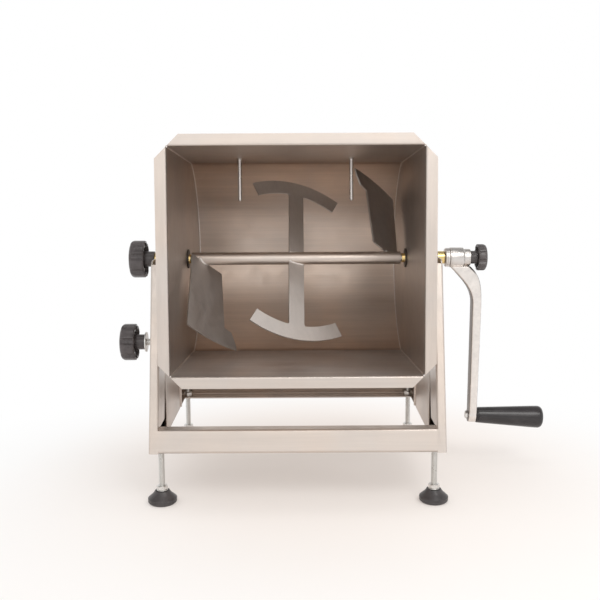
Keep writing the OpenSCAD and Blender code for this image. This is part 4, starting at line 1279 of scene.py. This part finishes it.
def make_floor():
    """Paper that turns into even white away from the machine, for the camera and in reflections.
    Next to the machine it glows warm, a painted bounce from the steel, and part white, painted
    light that lightens its shadow; the glow grows from a point ahead of the machine, so painted
    light lifts the shadow behind it most.
    """
    mesh = bpy.data.meshes.new("floor")
    corners = ((-1, -1), (1, -1), (1, 1), (-1, 1))
    mesh.from_pydata([(x * FLOOR_REACH, y * FLOOR_REACH, 0) for x, y in corners], [], [(0, 1, 2, 3)])
    floor = linked("floor", mesh)
    p = Paint("floor_paper")
    p.set("Base Color", (0.96, 0.935, 0.915, 1))
    p.set("Roughness", 0.9)
    p.set("Specular IOR Level", 0.1)

    def away(centre, *ramp):
        """Spread of the distance from a point."""
        distance = p.node("VectorMath", {0: p.place, 1: centre})
        distance.operation = "DISTANCE"
        return p.spread(distance.outputs["Value"], *ramp, shape="SMOOTHSTEP")

    # Glow warm next to the machine, and its share growing with distance: painted light over the floor's
    # shadow
    glow = p.node("Emission", {"Color": p.mix(away((0, 0, 0), 0.15, 0.5, 0.0, 1.0), WARM_PAINTED_BOUNCE, WHITE)})
    far = away(WHITEST_FROM, 0.3, 0.8, NEAR_WHITE, 1.0)
    path = p.node("LightPath", {}).outputs
    seen = p.maths("MAXIMUM", path["Is Camera Ray"], path["Is Glossy Ray"])
    seen = p.maths("MAXIMUM", seen, path["Is Transmission Ray"])
    shown = p.maths("MULTIPLY", far, seen)
    p.surface("Material Output", p.blend(shown, p.bsdf.outputs["BSDF"], glow.outputs["Emission"]))
    mesh.materials.append(p.mat)


def make_world():
    """White backdrop on all sides for the camera and in reflections, dimmer overhead and behind the
    camera. Diffuse light comes from a backdrop of its own."""
    world = bpy.data.worlds.new("studio")
    bpy.context.scene.world = world
    w = Nodes(world)

    def background(colour, strength):
        return w.node("Background", {"Color": (*colour, 1), "Strength": strength}).outputs["Background"]

    ray = w.node("SeparateXYZ", {0: w.coord("Generated")}).outputs
    dim = w.maths("MULTIPLY", w.spread(ray["Z"], 0.25, 0.85, 1.0, OVERHEAD, "SMOOTHSTEP"),
                  w.spread(ray["Y"], -0.9, 0.1, FRONT, 1.0, "SMOOTHSTEP"))
    white = background(WHITE, 1.0)
    light = background((1.0, 0.985, 0.975), WORLD_LIGHT)
    path = w.node("LightPath", {}).outputs
    seen = w.blend(path["Is Glossy Ray"], light, background((1.0, 0.995, 0.985), dim))
    seen = w.blend(path["Is Transmission Ray"], seen, white)
    seen = w.blend(path["Is Camera Ray"], seen, white)
    w.surface("World Output", seen)


def lamp(name, place, size, power, colour):
    data = bpy.data.lights.new(name, "AREA")
    data.shape = "RECTANGLE"
    data.size, data.size_y = size
    data.energy = power
    data.color = colour
    obj = linked(name, data)
    obj.location = place
    obj.rotation_euler = (LAMP_AIM - Vector(place)).to_track_quat("-Z", "Y").to_euler()


make_floor()
make_world()
for name, setting in LAMPS.items():
    lamp(name, *setting)
bpy.context.scene.view_settings.view_transform = "Standard"
